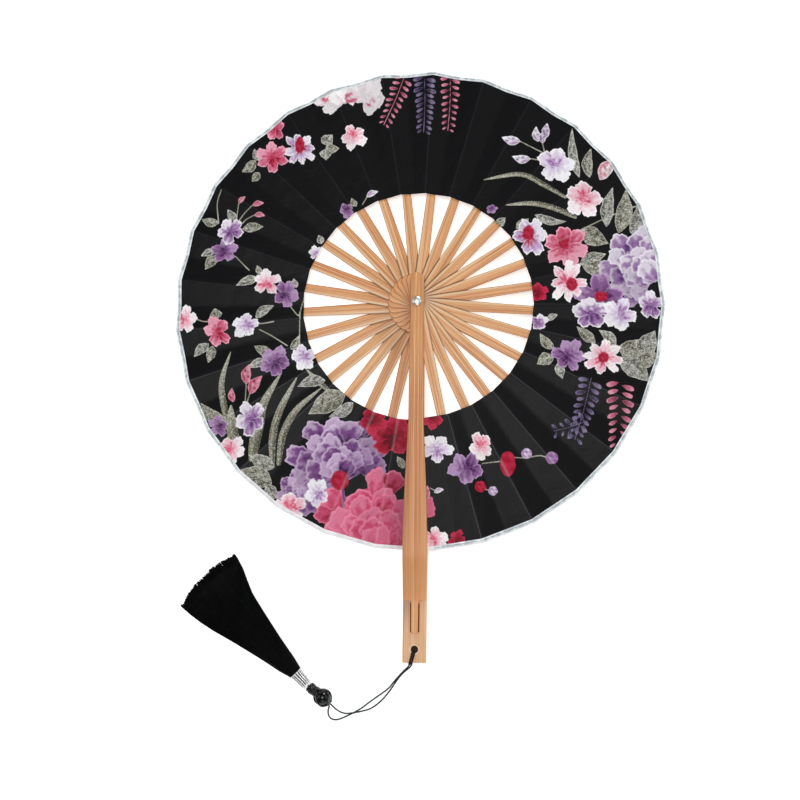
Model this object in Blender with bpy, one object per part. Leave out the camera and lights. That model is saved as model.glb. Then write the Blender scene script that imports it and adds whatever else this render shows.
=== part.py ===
# A round folding fan with a bamboo handle and a tassel, lying open on its back.
# Lengths are millimetres here and become metres where a mesh is made.
# The rivet's axis is Z through the origin, the handle points to -Y and the printed side faces +Z.

import math

import bmesh
import bpy
from mathutils import Vector

MM = 0.001

# Driving sizes: the fold
PANELS = 29
RIBS = PANELS - 1
FOLD_STEP = math.tau / PANELS
RUNNING_GAP = 0.05

# Driving sizes: the leaf and its binding
LEAF_RADIUS = 120.0
WINDOW_RADIUS = 56.5
LEAF_THICKNESS = 0.25
LEAF_SEAT = 0.20
LEAF_MARGIN = 0.70
FOLD_SHARE = 0.25
FOLD_AT_WINDOW = 0.15
FOLD_AT_RIM = 0.80
HEM_WIDTH = 1.9
HEM_THICKNESS = 0.12
HEM_FOLD = 0.35

# Driving sizes: the ribs
RIB_PITCH_PIVOT = 0.40
RIB_PITCH_TIP = 0.20
RIB_TAIL = 14.5
RIB_TIP_INSET = 2.6
RIB_BOSS_REACH = 15.0
RIB_WIDTH_PIVOT = 6.0
RIB_WIDTH_NECK = 5.4
RIB_NECK_DISTANCE = 24.0
RIB_WIDTH_WINDOW = 4.3
RIB_WIDTH_TIP = 2.8

# Driving sizes: the two guards
GUARD_THICKNESS = 2.6
GUARD_NOSE = 14.6
GUARD_NOSE_BEVEL = 3.2
GUARD_NOSE_DROP = 1.1
GUARD_WIDTH_PIVOT = 6.6
GUARD_WIDTH_WINDOW = 7.2
GUARD_WIDTH_SWELL = 10.8
GUARD_WIDTH_RIM = 11.8
GUARD_WIDTH_HANDLE = 11.4
GUARD_SWELL_INSET = 25.3
GUARD_RIM_INSET = 6.0
GUARD_CHAMFER = 0.5
GUARD_LEAF_ALLOWANCE = 0.70
ALLOWANCE_REACH = 35.0
CRANK_START = 1.0
CRANK_RUN = 23.0
CRANK_STEPS = 6
TONGUE_WIDTH = 3.4
TONGUE_THICKNESS = 1.6
TONGUE_LENGTH = 16.0
TONGUE_CLEARANCE = 0.30
SHOULDER_FILLET = 1.6
SHOULDER_INSET = 1.0
SLOT_CLEARANCE = 0.6
SLOT_START = 1.4
SLOT_SHORTFALL = 0.9
HANDLE_REACH = 52.5

# Driving sizes: the rivet
PIN_RADIUS = 1.40
PIN_CLEARANCE = 0.10
HEAD_RADIUS = 2.35
HEAD_HEIGHT = 1.30
HEAD_SOCKET_DEPTH = 0.50
CAP_RADIUS = 2.25
CAP_THICKNESS = 0.62
CAP_FLOOR = 0.30

# Driving sizes: the cord and the tassel
HOLE_INSET = 6.3
HOLE_RADIUS = 1.75
HOLE_COUNTERSINK = 0.45
END_RELIEF = 1.20
END_RELIEF_START = 11.0
END_RELIEF_RUN = 2.0
CORD_DIAMETER = 0.80
CORD_STEP = 1.9
HITCH_WIDTH = 2.0
HITCH_THICKNESS = 0.9
HITCH_CORNER = 0.8
HITCH_LEAN = -0.27
SEAT_GAP = 0.30
KNOT_RADIUS = 4.4
KNOT_LENGTH = 12.9
KNOT_NECK_RADIUS = 2.1
KNOT_END_DROP = 1.1
CAP_LENGTH = 8.2
CAP_NARROW_RADIUS = 2.45
CAP_WIDE_RADIUS = 3.1
CAP_FLUTES = 14
CAP_FLUTE_DEPTH = 0.07
SKIRT_LENGTH = 65.0
SKIRT_END_SAG = 3.4
SKIRT_LOCKS = 18
SKIRT_LOCK_DEPTH = 0.09

ROUND_SIDES = 32
BORE_SIDES = 16
END_ARC = 5

# Heights and distances that follow from the sizes above
RIB_BASE = GUARD_THICKNESS + RUNNING_GAP
RIB_TIP = LEAF_RADIUS - RIB_TIP_INSET
CRANK_FROM = LEAF_RADIUS + CRANK_START
CRANK_TO = CRANK_FROM + CRANK_RUN
SHOULDER = CRANK_TO - SHOULDER_INSET
TONGUE_TIP = SHOULDER + TONGUE_LENGTH
HANDLE_END = LEAF_RADIUS + HANDLE_REACH
HOLE_DISTANCE = HANDLE_END - HOLE_INSET
BORE_RADIUS = PIN_RADIUS + PIN_CLEARANCE
STACK_TOP = RIB_BASE + RIBS * RIB_PITCH_PIVOT + GUARD_THICKNESS

# The cord's two strands, as points from the handle's hole: across, along and up
UPPER_STRAND = [
    (-2.60, -7.65, 0.90), (-3.5, -8.35, 0.60), (-4.9, -9.6, 0.45), (-7.4, -12.2, 0.42),
    (-10.1, -15.3, 0.42),
    (-12.3, -18.1, 0.42), (-14.9, -20.5, 0.42), (-18.3, -22.9, 0.42), (-21.6, -25.3, 0.42),
    (-24.6, -27.6, 0.42), (-27.4, -29.3, 0.42), (-29.8, -30.6, 0.42), (-32.3, -31.8, 0.42),
    (-34.6, -32.8, 0.42), (-37.0, -33.4, 0.42), (-39.3, -32.9, 0.50), (-40.5, -31.2, 0.95),
    (-40.6, -28.9, 2.10), (-40.07, -26.55, 3.35),
]
LOWER_STRAND = [
    (-1.75, -7.95, 0.90), (-2.6, -8.85, 0.60), (-4.0, -10.2, 0.45), (-6.6, -12.9, 0.42),
    (-9.3, -16.1, 0.42),
    (-11.0, -18.6, 0.42), (-12.3, -20.5, 0.42), (-14.3, -22.9, 0.42), (-17.1, -25.6, 0.42),
    (-20.5, -27.9, 0.50), (-23.5, -28.9, 0.85), (-26.1, -29.5, 1.35), (-28.9, -30.0, 1.55),
    (-31.6, -30.3, 1.40), (-34.1, -30.0, 1.00), (-36.4, -28.8, 1.30), (-38.1, -27.3, 2.30),
    (-39.43, -25.91, 3.35),
]

# The tassel's own axes: its neck's place from the hole, and the way it points
TASSEL_NECK = Vector((-56.4, -11.7, 0.0))
TASSEL_AIM = Vector((-1.0, 1.0, 0.0)).normalized()
TASSEL_SIDE = Vector((1.0, 1.0, 0.0)).normalized()
KNOT_OFFSET = 1.2
# Along the skirt: share of its length, centre across, half width and height
SKIRT_FORM = [
    (0.0, 0.0, 3.3, 6.3), (0.10, -0.3, 4.9, 6.3), (0.25, -0.7, 6.6, 5.8), (0.48, -1.4, 9.8, 4.9),
    (0.68, -2.1, 12.8, 3.8), (0.80, -1.4, 15.2, 3.1), (0.92, -0.7, 17.3, 2.4), (1.0, -0.5, 17.9, 1.9),
]


def mix(a, b, share):
    return a + (b - a) * share


def smooth_share(value, start, end):
    share = min(max((value - start) / (end - start), 0.0), 1.0)
    return share * share * (3.0 - 2.0 * share)


def along(stations, distance):
    """Read a value between stations, each a distance and a value."""
    for (start, low), (end, high) in zip(stations, stations[1:]):
        if distance <= end:
            return mix(low, high, max(distance - start, 0.0) / (end - start))
    return stations[-1][1]


def rib_pitch(distance):
    share = max(distance - RIB_BOSS_REACH, 0.0) / (RIB_TIP - RIB_BOSS_REACH)
    return mix(RIB_PITCH_PIVOT, RIB_PITCH_TIP, share)


def level(count, distance):
    """Height above the rear guard's underside of a stack of so many ribs."""
    return RIB_BASE + count * rib_pitch(distance)


def rib_half_width(distance):
    return along([
        (-RIB_TAIL, RIB_WIDTH_PIVOT / 2), (0.0, RIB_WIDTH_PIVOT / 2),
        (RIB_NECK_DISTANCE, RIB_WIDTH_NECK / 2), (WINDOW_RADIUS, RIB_WIDTH_WINDOW / 2),
        (RIB_TIP, RIB_WIDTH_TIP / 2),
    ], distance)


def guard_half_width(distance):
    return along([
        (-GUARD_NOSE, GUARD_WIDTH_PIVOT / 2), (0.0, GUARD_WIDTH_PIVOT / 2),
        (WINDOW_RADIUS, GUARD_WIDTH_WINDOW / 2),
        (LEAF_RADIUS - GUARD_SWELL_INSET, GUARD_WIDTH_SWELL / 2),
        (LEAF_RADIUS - GUARD_RIM_INSET, GUARD_WIDTH_RIM / 2),
        (SHOULDER, GUARD_WIDTH_HANDLE / 2), (HANDLE_END, GUARD_WIDTH_HANDLE / 2),
    ], distance)


def material(name, colour, roughness, metallic=0.0):
    made = bpy.data.materials.new(name)
    made.use_nodes = True
    shader = made.node_tree.nodes["Principled BSDF"]
    shader.inputs["Base Color"].default_value = (*colour, 1.0)
    shader.inputs["Roughness"].default_value = roughness
    shader.inputs["Metallic"].default_value = metallic
    made.diffuse_color = (*colour, 1.0)
    return made


def add_object(name, mesh_data, finish, fan):
    made = bpy.data.objects.new(name, mesh_data)
    made.data.materials.append(finish)
    made.parent = fan
    bpy.context.collection.objects.link(made)
    return made


def solid(name, vertices, faces, finish, fan):
    """One closed body from vertices in millimetres."""
    body = bmesh.new()
    corners = [body.verts.new(Vector(v) * MM) for v in vertices]
    for face in faces:
        body.faces.new([corners[i] for i in face])
    bmesh.ops.recalc_face_normals(body, faces=body.faces)
    mesh_data = bpy.data.meshes.new(name)
    body.to_mesh(mesh_data)
    body.free()
    return add_object(name, mesh_data, finish, fan)


def loft_faces(rings, sides, closed=False):
    """Quads between rings of equal counts, with both ends filled unless the path closes."""
    faces = []
    for ring in range(rings if closed else rings - 1):
        here = ring * sides
        there = (ring + 1) % rings * sides
        for side in range(sides):
            after = (side + 1) % sides
            faces.append((here + side, here + after, there + after, there + side))
    if not closed:
        faces.append(tuple(range(sides)))
        faces.append(tuple((rings - 1) * sides + side for side in range(sides)))
    return faces


def round_end(centre, radius, way):
    """Stations round a bar's end, from its full width to a narrow flat."""
    turns = [math.radians(80.0) * step / END_ARC for step in range(1, END_ARC + 1)]
    return [(centre + way * radius * math.sin(t), radius * math.cos(t)) for t in turns]


def bar(name, stations, floor, roof, chamfer, finish, fan):
    """A bamboo strip along -Y through stations of distance and half width."""
    vertices = []
    for distance, half in stations:
        low, high = floor(distance), roof(distance)
        cut = min(chamfer, 0.4 * half)
        section = [(-half, low), (half, low), (half, high), (-half, high)]
        if chamfer:
            section = [(-half, low + cut), (cut - half, low), (half - cut, low), (half, low + cut),
                       (half, high - cut), (half - cut, high), (cut - half, high), (-half, high - cut)]
        vertices += [(across, -distance, height) for across, height in section]
    sides = len(vertices) // len(stations)
    return solid(name, vertices, loft_faces(len(stations), sides), finish, fan)


def turned(name, profile, sides, finish, fan):
    """A turned piece from its half section, radius and height, that starts and ends on the axis."""
    body = bmesh.new()
    points = [body.verts.new((radius * MM, 0.0, height * MM)) for radius, height in profile]
    edges = [body.edges.new(pair) for pair in zip(points, points[1:])]
    bmesh.ops.spin(body, geom=points + edges, cent=(0, 0, 0), axis=(0, 0, 1), angle=math.tau,
                   steps=sides, use_merge=True)
    bmesh.ops.remove_doubles(body, verts=body.verts, dist=0.00001)
    bmesh.ops.recalc_face_normals(body, faces=body.faces)
    mesh_data = bpy.data.meshes.new(name)
    body.to_mesh(mesh_data)
    body.free()
    mesh_data.shade_smooth()
    mesh_data.set_sharp_from_angle(angle=math.radians(35.0))
    return add_object(name, mesh_data, finish, fan)


def cutter(made):
    made.hide_render = True
    made.display_type = "WIRE"
    return made


def cut(target, tool):
    boolean = target.modifiers.new(tool.name, "BOOLEAN")
    boolean.operation = "DIFFERENCE"
    boolean.object = tool
    boolean.solver = "EXACT"


def make_rib(number, bore, finish, fan):
    """One rib: flat and full round the rivet, then thinner and narrower to its tip."""
    tail = RIB_WIDTH_PIVOT / 2
    tip = RIB_WIDTH_TIP / 2
    stations = round_end(tail - RIB_TAIL, tail, -1)[::-1]
    stations += [(d, rib_half_width(d)) for d in (
        tail - RIB_TAIL, 0.0, RIB_BOSS_REACH, RIB_NECK_DISTANCE, WINDOW_RADIUS, RIB_TIP - tip)]
    stations += round_end(RIB_TIP - tip, rib_half_width(RIB_TIP - tip), 1)
    rib = bar(f"rib_{number:02d}", stations, lambda d: level(number - 1, d),
              lambda d: level(number, d) - RUNNING_GAP, 0.0, finish, fan)
    rib.rotation_euler.z = -number * FOLD_STEP
    cut(rib, bore)
    return rib


def guard_stations(last):
    nose = GUARD_WIDTH_PIVOT / 2
    stations = round_end(nose - GUARD_NOSE, nose, -1)[::-1]
    marks = [nose - GUARD_NOSE, GUARD_NOSE_BEVEL - GUARD_NOSE, 0.0, RIB_BOSS_REACH,
             RIB_BOSS_REACH + ALLOWANCE_REACH, WINDOW_RADIUS, LEAF_RADIUS - GUARD_SWELL_INSET,
             LEAF_RADIUS - GUARD_RIM_INSET, *last]
    return stations + [(d, guard_half_width(d)) for d in sorted(marks)]


def front_floor(distance):
    """The front guard's underside: clear of every rib and of the leaf, then down to the handle."""
    def over_leaf(d):
        return level(RIBS, d) + GUARD_LEAF_ALLOWANCE * min(
            max(d - RIB_BOSS_REACH, 0.0) / ALLOWANCE_REACH, 1.0)
    seat = GUARD_THICKNESS + TONGUE_CLEARANCE
    if distance <= CRANK_FROM:
        return over_leaf(distance)
    return mix(over_leaf(CRANK_FROM), seat, smooth_share(distance, CRANK_FROM, CRANK_TO))


def front_roof(distance):
    thickness = mix(GUARD_THICKNESS, TONGUE_THICKNESS, smooth_share(distance, CRANK_FROM, CRANK_TO))
    drop = max(GUARD_NOSE_BEVEL - GUARD_NOSE - distance, 0.0) / GUARD_NOSE_BEVEL
    return front_floor(distance) + thickness - GUARD_NOSE_DROP * drop


def make_front_guard(finish, fan):
    """The upper handle half: over the fold, then cranked down to a tongue on the lower half."""
    crank = [mix(CRANK_FROM, CRANK_TO, step / CRANK_STEPS) for step in range(CRANK_STEPS)]
    stations = guard_stations([d for d in crank if d < SHOULDER - 0.5] + [SHOULDER])
    tongue = TONGUE_WIDTH / 2
    flare = [(SHOULDER + SHOULDER_FILLET * (1 - math.cos(t)) + 0.1,
              tongue + SHOULDER_FILLET * (1 - math.sin(t)))
             for t in (math.radians(a) for a in (0, 30, 60, 90))]
    stations += flare
    stations.append((TONGUE_TIP - tongue, tongue))
    stations += round_end(TONGUE_TIP - tongue, tongue, 1)
    guard = bar("front_guard", stations, front_floor, front_roof, GUARD_CHAMFER, finish, fan)
    tool = cutter(turned("front_bore", [
        (0.0, 0.0), (BORE_RADIUS, 0.0), (BORE_RADIUS, STACK_TOP + 5.0), (0.0, STACK_TOP + 5.0),
    ], BORE_SIDES, finish, fan))
    cut(guard, tool)
    return guard


def rear_floor(distance):
    start = HANDLE_END - END_RELIEF_START
    return END_RELIEF * min(max(distance - start, 0.0) / END_RELIEF_RUN, 1.0)


def make_rear_guard(finish, fan):
    """The lower handle half, flat on the table, with its slot, its cord hole and its rivet seat."""
    start = HANDLE_END - END_RELIEF_START
    stations = guard_stations([SHOULDER, start, start + END_RELIEF_RUN, HANDLE_END])
    guard = bar("rear_guard", stations, rear_floor, lambda d: GUARD_THICKNESS,
                GUARD_CHAMFER, finish, fan)
    seat = CAP_THICKNESS + RUNNING_GAP
    seat_radius = CAP_RADIUS + PIN_CLEARANCE
    above = GUARD_THICKNESS + 1.0
    cut(guard, cutter(turned("rear_bore", [
        (0.0, -1.0), (seat_radius, -1.0), (seat_radius, seat), (BORE_RADIUS, seat),
        (BORE_RADIUS, above), (0.0, above),
    ], ROUND_SIDES, finish, fan)))
    rim = HOLE_RADIUS + HOLE_COUNTERSINK
    hole = cutter(turned("cord_bore", [
        (0.0, -1.0), (HOLE_RADIUS, -1.0), (HOLE_RADIUS, GUARD_THICKNESS - HOLE_COUNTERSINK),
        (rim, GUARD_THICKNESS), (rim, above), (0.0, above),
    ], ROUND_SIDES, finish, fan))
    hole.location.y = -HOLE_DISTANCE * MM
    cut(guard, hole)
    half = TONGUE_WIDTH / 2 + SLOT_CLEARANCE
    near, far = SHOULDER + SLOT_START, TONGUE_TIP - SLOT_SHORTFALL
    corners = [(x, -y, z) for z in (-1.0, above) for x, y in (
        (-half, near), (half, near), (half, far), (-half, far))]
    slot = cutter(solid("slot", corners, loft_faces(2, 4), finish, fan))
    cut(guard, slot)
    return guard


def leaf_columns():
    """The leaf's lines from the window to the rim: place among the ribs, side of a guard, rise.

    Each panel has a valley a quarter of the way from its rib to the next one, which lies above
    it in the stack, and a ridge a quarter of the way before the next. Both ends of the leaf lie
    flat between the guards, so the last panel's folds are shallower.
    """
    columns = [(0.0, -1.0, 0.0), (0.0, 0.0, 0.0)]
    for panel in range(PANELS):
        valley, ridge = (-1.0, 1.0) if panel < PANELS - 1 else (-0.5, 0.0)
        columns += [(panel + FOLD_SHARE, 0.0, valley), (panel + 1.0 - FOLD_SHARE, 0.0, ridge)]
    return columns + [(PANELS, 0.0, 0.0), (PANELS, 1.0, 0.0)]


def leaf_point(column, radius, lift):
    place, side, rise = column
    across = side * (guard_half_width(radius) - LEAF_MARGIN)
    turn = place * FOLD_STEP + math.asin(across / radius)
    share = (radius - WINDOW_RADIUS) / (LEAF_RADIUS - WINDOW_RADIUS)
    height = level(min(place, RIBS), radius) + rise * mix(FOLD_AT_WINDOW, FOLD_AT_RIM, share)
    reach = radius * (math.cos(FOLD_STEP / 2) if rise < 0.0 else 1.0)
    return (-reach * math.sin(turn), -reach * math.cos(turn),
            max(height, RIB_BASE) + LEAF_SEAT + lift)


def pleated(name, section, finish, fan):
    """A pleated band round the fan, from a closed section of radius and lift above the leaf's seat."""
    columns = leaf_columns()
    vertices = [leaf_point(column, radius, lift) for column in columns for radius, lift in section]
    return solid(name, vertices, loft_faces(len(columns), len(section)), finish, fan)


def make_leaf(finish, fan):
    rim = LEAF_RADIUS - HEM_FOLD
    middle = mix(WINDOW_RADIUS, rim, 0.5)
    radii = [WINDOW_RADIUS, middle, rim]
    section = [(r, 0.0) for r in radii] + [(r, LEAF_THICKNESS) for r in reversed(radii)]
    return pleated("leaf", section, finish, fan)


def make_hem(finish, fan):
    """A binding folded over the leaf's rim, open towards the rivet."""
    inner, outer = LEAF_RADIUS - HEM_WIDTH, LEAF_RADIUS
    inside = outer - HEM_FOLD + RUNNING_GAP
    low, high = -RUNNING_GAP, LEAF_THICKNESS + RUNNING_GAP
    return pleated("leaf_hem", [
        (inner, low - HEM_THICKNESS), (outer, low - HEM_THICKNESS), (outer, high + HEM_THICKNESS),
        (inner, high + HEM_THICKNESS), (inner, high), (inside, high), (inside, low), (inner, low),
    ], finish, fan)


def make_rivet(finish, fan):
    """A plain pin held by a domed head in front and a cap let into the rear guard."""
    socket_radius = PIN_RADIUS + 0.7 * PIN_CLEARANCE
    pin_low = CAP_FLOOR + RUNNING_GAP
    head_low = STACK_TOP + RUNNING_GAP
    socket_top = head_low + HEAD_SOCKET_DEPTH
    pin_high = socket_top - RUNNING_GAP
    turned("rivet_pin", [(0.0, pin_low), (PIN_RADIUS, pin_low), (PIN_RADIUS, pin_high),
                         (0.0, pin_high)], BORE_SIDES, finish, fan)
    dome = [(HEAD_RADIUS * math.cos(t), head_low + 0.25 + (HEAD_HEIGHT - 0.25) * math.sin(t))
            for t in (math.radians(a) for a in (0, 22, 45, 68))]
    turned("rivet_head_front", [
        (0.0, socket_top), (socket_radius, socket_top), (socket_radius, head_low),
        (HEAD_RADIUS - 0.1, head_low), *dome, (0.0, head_low + HEAD_HEIGHT),
    ], ROUND_SIDES, finish, fan)
    turned("rivet_cap_rear", [
        (0.0, 0.0), (CAP_RADIUS, 0.0), (CAP_RADIUS, CAP_THICKNESS), (socket_radius, CAP_THICKNESS),
        (socket_radius, CAP_FLOOR), (0.0, CAP_FLOOR),
    ], ROUND_SIDES, finish, fan)


def make_hitch(finish, fan):
    """The doubled cord round the wood between the hole and the handle's end."""
    low = END_RELIEF - RUNNING_GAP - HITCH_THICKNESS / 2
    high = GUARD_THICKNESS + RUNNING_GAP + HITCH_THICKNESS / 2
    near = 0.35
    far = HOLE_INSET * math.hypot(1.0, HITCH_LEAN) + 2 * RUNNING_GAP + HITCH_THICKNESS / 2 + 0.2
    corner = HITCH_CORNER
    centres = [(near + corner, low + corner, 180), (far - corner, low + corner, 270),
               (far - corner, high - corner, 0), (near + corner, high - corner, 90)]
    path = []
    for along_hitch, up, start in centres:
        for turn in (start, start + 30, start + 60, start + 90):
            t = math.radians(turn)
            path.append((along_hitch + corner * math.cos(t), up + corner * math.sin(t), t))
    way = Vector((HITCH_LEAN, -1.0, 0.0)).normalized()
    side = Vector((1.0, HITCH_LEAN, 0.0)).normalized()
    half, thick = HITCH_WIDTH / 2, HITCH_THICKNESS / 2
    section = [(half, 0.0), (0.75 * half, 0.85 * thick), (0.35 * half, 0.85 * thick), (0.0, 0.55 * thick),
               (-0.35 * half, 0.85 * thick), (-0.75 * half, 0.85 * thick), (-half, 0.0),
               (-0.75 * half, -0.85 * thick), (0.0, -thick), (0.75 * half, -0.85 * thick)]
    hole = Vector((0.0, -HOLE_DISTANCE, 0.0))
    vertices = []
    for along_hitch, up, t in path:
        out = way * math.cos(t) + Vector((0.0, 0.0, math.sin(t)))
        base = hole + way * along_hitch + Vector((0.0, 0.0, up))
        vertices += [base + side * across + out * proud for across, proud in section]
    return solid("cord_hitch", vertices, loft_faces(len(path), len(section), closed=True), finish, fan)


def smooth_route(points, step):
    """Even points on a smooth curve through the chosen ones."""
    knots = [Vector(p) for p in points]
    knots = [2 * knots[0] - knots[1], *knots, 2 * knots[-1] - knots[-2]]
    fine = []
    for a, b, c, d in zip(knots, knots[1:], knots[2:], knots[3:]):
        for part in range(12):
            t = part / 12
            fine.append(0.5 * (2 * b + (c - a) * t + (2 * a - 5 * b + 4 * c - d) * t ** 2
                               + (3 * b - a - 3 * c + d) * t ** 3))
    fine.append(knots[-2])
    travel = [0.0]
    for a, b in zip(fine, fine[1:]):
        travel.append(travel[-1] + (b - a).length)
    count = round(travel[-1] / step)
    even, here = [], 0
    for number in range(count + 1):
        wanted = travel[-1] * number / count
        while here < len(fine) - 2 and travel[here + 1] < wanted:
            here += 1
        share = (wanted - travel[here]) / (travel[here + 1] - travel[here])
        even.append(fine[here].lerp(fine[here + 1], share))
    return even


def make_strand(name, points, finish, fan):
    data = bpy.data.curves.new(name, "CURVE")
    data.dimensions = "3D"
    data.bevel_depth = CORD_DIAMETER / 2 * MM
    data.bevel_resolution = 2
    data.use_fill_caps = True
    spline = data.splines.new("POLY")
    hole = Vector((0.0, -HOLE_DISTANCE, 0.0))
    route = smooth_route(points, CORD_STEP)
    spline.points.add(len(route) - 1)
    for point, place in zip(spline.points, route):
        point.co = (*((hole + place) * MM), 1.0)
    return add_object(name, data, finish, fan)


def lobed_loft(name, rings, sides, lobes, depth, sag, finish, fan):
    """A body along the tassel's axis, from rings of travel, centre across, half width, low and height."""
    neck = Vector((0.0, -HOLE_DISTANCE, 0.0)) + TASSEL_NECK
    vertices = []
    for number, (travel, centre, half, low, height) in enumerate(rings):
        bulge = sag * number / (len(rings) - 1)
        for side in range(sides):
            t = math.tau * side / sides
            groove = 1.0 - depth * (0.5 - 0.5 * math.cos(lobes * t))
            across = centre + half * groove * math.cos(t)
            up = low + height / 2 + height / 2 * groove * math.sin(t)
            back = bulge * math.cos(t) ** 2
            vertices.append(neck + TASSEL_AIM * (travel - back) + TASSEL_SIDE * across
                            + Vector((0.0, 0.0, up)))
    made = solid(name, vertices, loft_faces(len(rings), sides), finish, fan)
    made.data.shade_smooth()
    made.data.set_sharp_from_angle(angle=math.radians(40.0))
    return made


def make_tassel(cord, metal, silk, fan):
    """Knot, fluted cap and skirt, lying on the table in line."""
    rest = RUNNING_GAP
    cap_far = -SEAT_GAP
    cap_near = cap_far - CAP_LENGTH
    knot_far = cap_near - SEAT_GAP
    axis_height = rest + CAP_WIDE_RADIUS
    knot = []
    for share in (0.0, 0.10, 0.22, 0.34, 0.46, 0.60, 0.74, 0.86, 0.95, 1.0):
        ball = (share * KNOT_LENGTH - (KNOT_LENGTH - KNOT_RADIUS)) / KNOT_RADIUS
        radius = KNOT_RADIUS * math.sqrt(max(1.0 - ball * ball, 0.0))
        radius = max(radius, KNOT_NECK_RADIUS * (1.0 if share < 0.5 else 0.45))
        height = mix(axis_height, rest + KNOT_RADIUS, smooth_share(share, 0.0, 0.6))
        height -= KNOT_END_DROP * smooth_share(share, 0.8, 1.0)
        knot.append((knot_far - share * KNOT_LENGTH, KNOT_OFFSET * smooth_share(share, 0.0, 0.7) + 0.3,
                     radius, height - radius, 2 * radius))
    lobed_loft("cord_knot", knot, 20, 5, 0.10, 0.0, cord, fan)
    cap = [(mix(cap_far, cap_near, share), 0.0, radius, axis_height - radius, 2 * radius)
           for share, radius in ((0.0, CAP_WIDE_RADIUS - 0.25), (0.06, CAP_WIDE_RADIUS),
                                 (0.5, mix(CAP_WIDE_RADIUS, CAP_NARROW_RADIUS, 0.45)),
                                 (0.94, CAP_NARROW_RADIUS), (1.0, CAP_NARROW_RADIUS - 0.25))]
    lobed_loft("tassel_cap", cap, 4 * CAP_FLUTES, CAP_FLUTES, CAP_FLUTE_DEPTH, 0.0, metal, fan)
    skirt = [(share * SKIRT_LENGTH, centre, half, rest, height)
             for share, centre, half, height in SKIRT_FORM]
    lobed_loft("tassel_skirt", skirt, 4 * SKIRT_LOCKS, SKIRT_LOCKS, SKIRT_LOCK_DEPTH,
               SKIRT_END_SAG, silk, fan)


def build():
    for old in list(bpy.data.objects):
        bpy.data.objects.remove(old, do_unlink=True)
    fan = bpy.data.objects.new("folding_fan", None)
    bpy.context.collection.objects.link(fan)

    bamboo = material("bamboo", (0.60, 0.32, 0.14), 0.45)
    rib_bamboo = material("rib_bamboo", (0.62, 0.34, 0.15), 0.50)
    satin = material("printed_satin", (0.012, 0.012, 0.015), 0.55)
    binding = material("silver_binding", (0.45, 0.50, 0.55), 0.60)
    nickel = material("nickel", (0.72, 0.71, 0.66), 0.20, 1.0)
    green_cord = material("green_black_cord", (0.010, 0.022, 0.018), 0.60)
    silver = material("silver_cap", (0.80, 0.80, 0.80), 0.22, 1.0)
    silk = material("black_silk", (0.004, 0.004, 0.005), 0.50)

    make_rear_guard(bamboo, fan)
    bore = cutter(turned("rib_bore", [
        (0.0, 0.0), (BORE_RADIUS, 0.0), (BORE_RADIUS, STACK_TOP), (0.0, STACK_TOP),
    ], BORE_SIDES, nickel, fan))
    for number in range(1, RIBS + 1):
        make_rib(number, bore, rib_bamboo, fan)
    make_front_guard(bamboo, fan)
    make_leaf(satin, fan)
    make_hem(binding, fan)
    make_rivet(nickel, fan)
    make_hitch(green_cord, fan)
    make_strand("cord_strand_upper", UPPER_STRAND, green_cord, fan)
    make_strand("cord_strand_lower", LOWER_STRAND, green_cord, fan)
    make_tassel(green_cord, silver, silk, fan)
    return fan


build()
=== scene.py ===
import math

import bmesh
import bpy
import numpy as np
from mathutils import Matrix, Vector


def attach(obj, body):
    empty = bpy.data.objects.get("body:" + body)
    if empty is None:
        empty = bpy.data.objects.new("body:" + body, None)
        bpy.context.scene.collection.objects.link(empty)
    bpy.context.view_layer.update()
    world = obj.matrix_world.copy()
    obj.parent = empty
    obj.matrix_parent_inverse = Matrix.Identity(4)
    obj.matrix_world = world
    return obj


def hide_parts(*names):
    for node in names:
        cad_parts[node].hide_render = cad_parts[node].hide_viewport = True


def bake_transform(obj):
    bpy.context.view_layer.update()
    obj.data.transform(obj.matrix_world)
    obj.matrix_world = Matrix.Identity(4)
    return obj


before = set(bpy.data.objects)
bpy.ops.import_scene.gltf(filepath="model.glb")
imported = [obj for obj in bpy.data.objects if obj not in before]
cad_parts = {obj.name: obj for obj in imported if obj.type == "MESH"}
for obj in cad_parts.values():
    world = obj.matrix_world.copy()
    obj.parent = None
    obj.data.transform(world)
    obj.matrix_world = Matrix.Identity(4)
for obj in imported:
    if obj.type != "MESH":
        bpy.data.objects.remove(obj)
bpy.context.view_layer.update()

# A round folding fan, open on its back, with its tassel beside the handle.
# Sizes are millimetres here and become metres in the meshes.
mm = 0.001

chain = ["rear_guard"] + [f"rib_{number:02d}" for number in range(1, 29)] + ["front_guard"]
hole = (0.0, -166.2, 0.0)  # of the cord, through the handle
fold = {
    "panels": 29,
    "ribs": 28,
    "step": math.tau / 29,
    "base": 2.65,        # top of the rear guard with its running gap
    "gap": 0.05,
    "pitchPivot": 0.40,  # one rib's share of the stack, at the rivet and at the tip
    "pitchTip": 0.20,
    "boss": 15.0,
    "tip": 117.4,
}


# The camera, where the photograph was taken from
view = {
    "place": (28.477, -151.205, 692.502),
    "turn": (0.15129508, 0.05139026, 0.01267758),
    "lens": 64.44,
}
camera = bpy.data.objects.new("camera", bpy.data.cameras.new("camera"))
camera.location = Vector(view["place"]) * mm
camera.rotation_euler = view["turn"]
camera.data.sensor_width = 36.0
camera.data.lens = view["lens"]
camera.data.clip_start = 0.01
bpy.context.collection.objects.link(camera)
bpy.context.scene.camera = camera
print("camera set")


def mix(a, b, share):
    return a + (b - a) * share


def smoothShare(value, start, end):
    share = np.clip((value - start) / (end - start), 0.0, 1.0)
    return share * share * (3.0 - 2.0 * share)


def pitch(distance):
    share = np.maximum(distance - fold["boss"], 0.0) / (fold["tip"] - fold["boss"])
    return mix(fold["pitchPivot"], fold["pitchTip"], share)


def level(count, distance):  # height of a stack of so many ribs
    return fold["base"] + count * pitch(distance)


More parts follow.
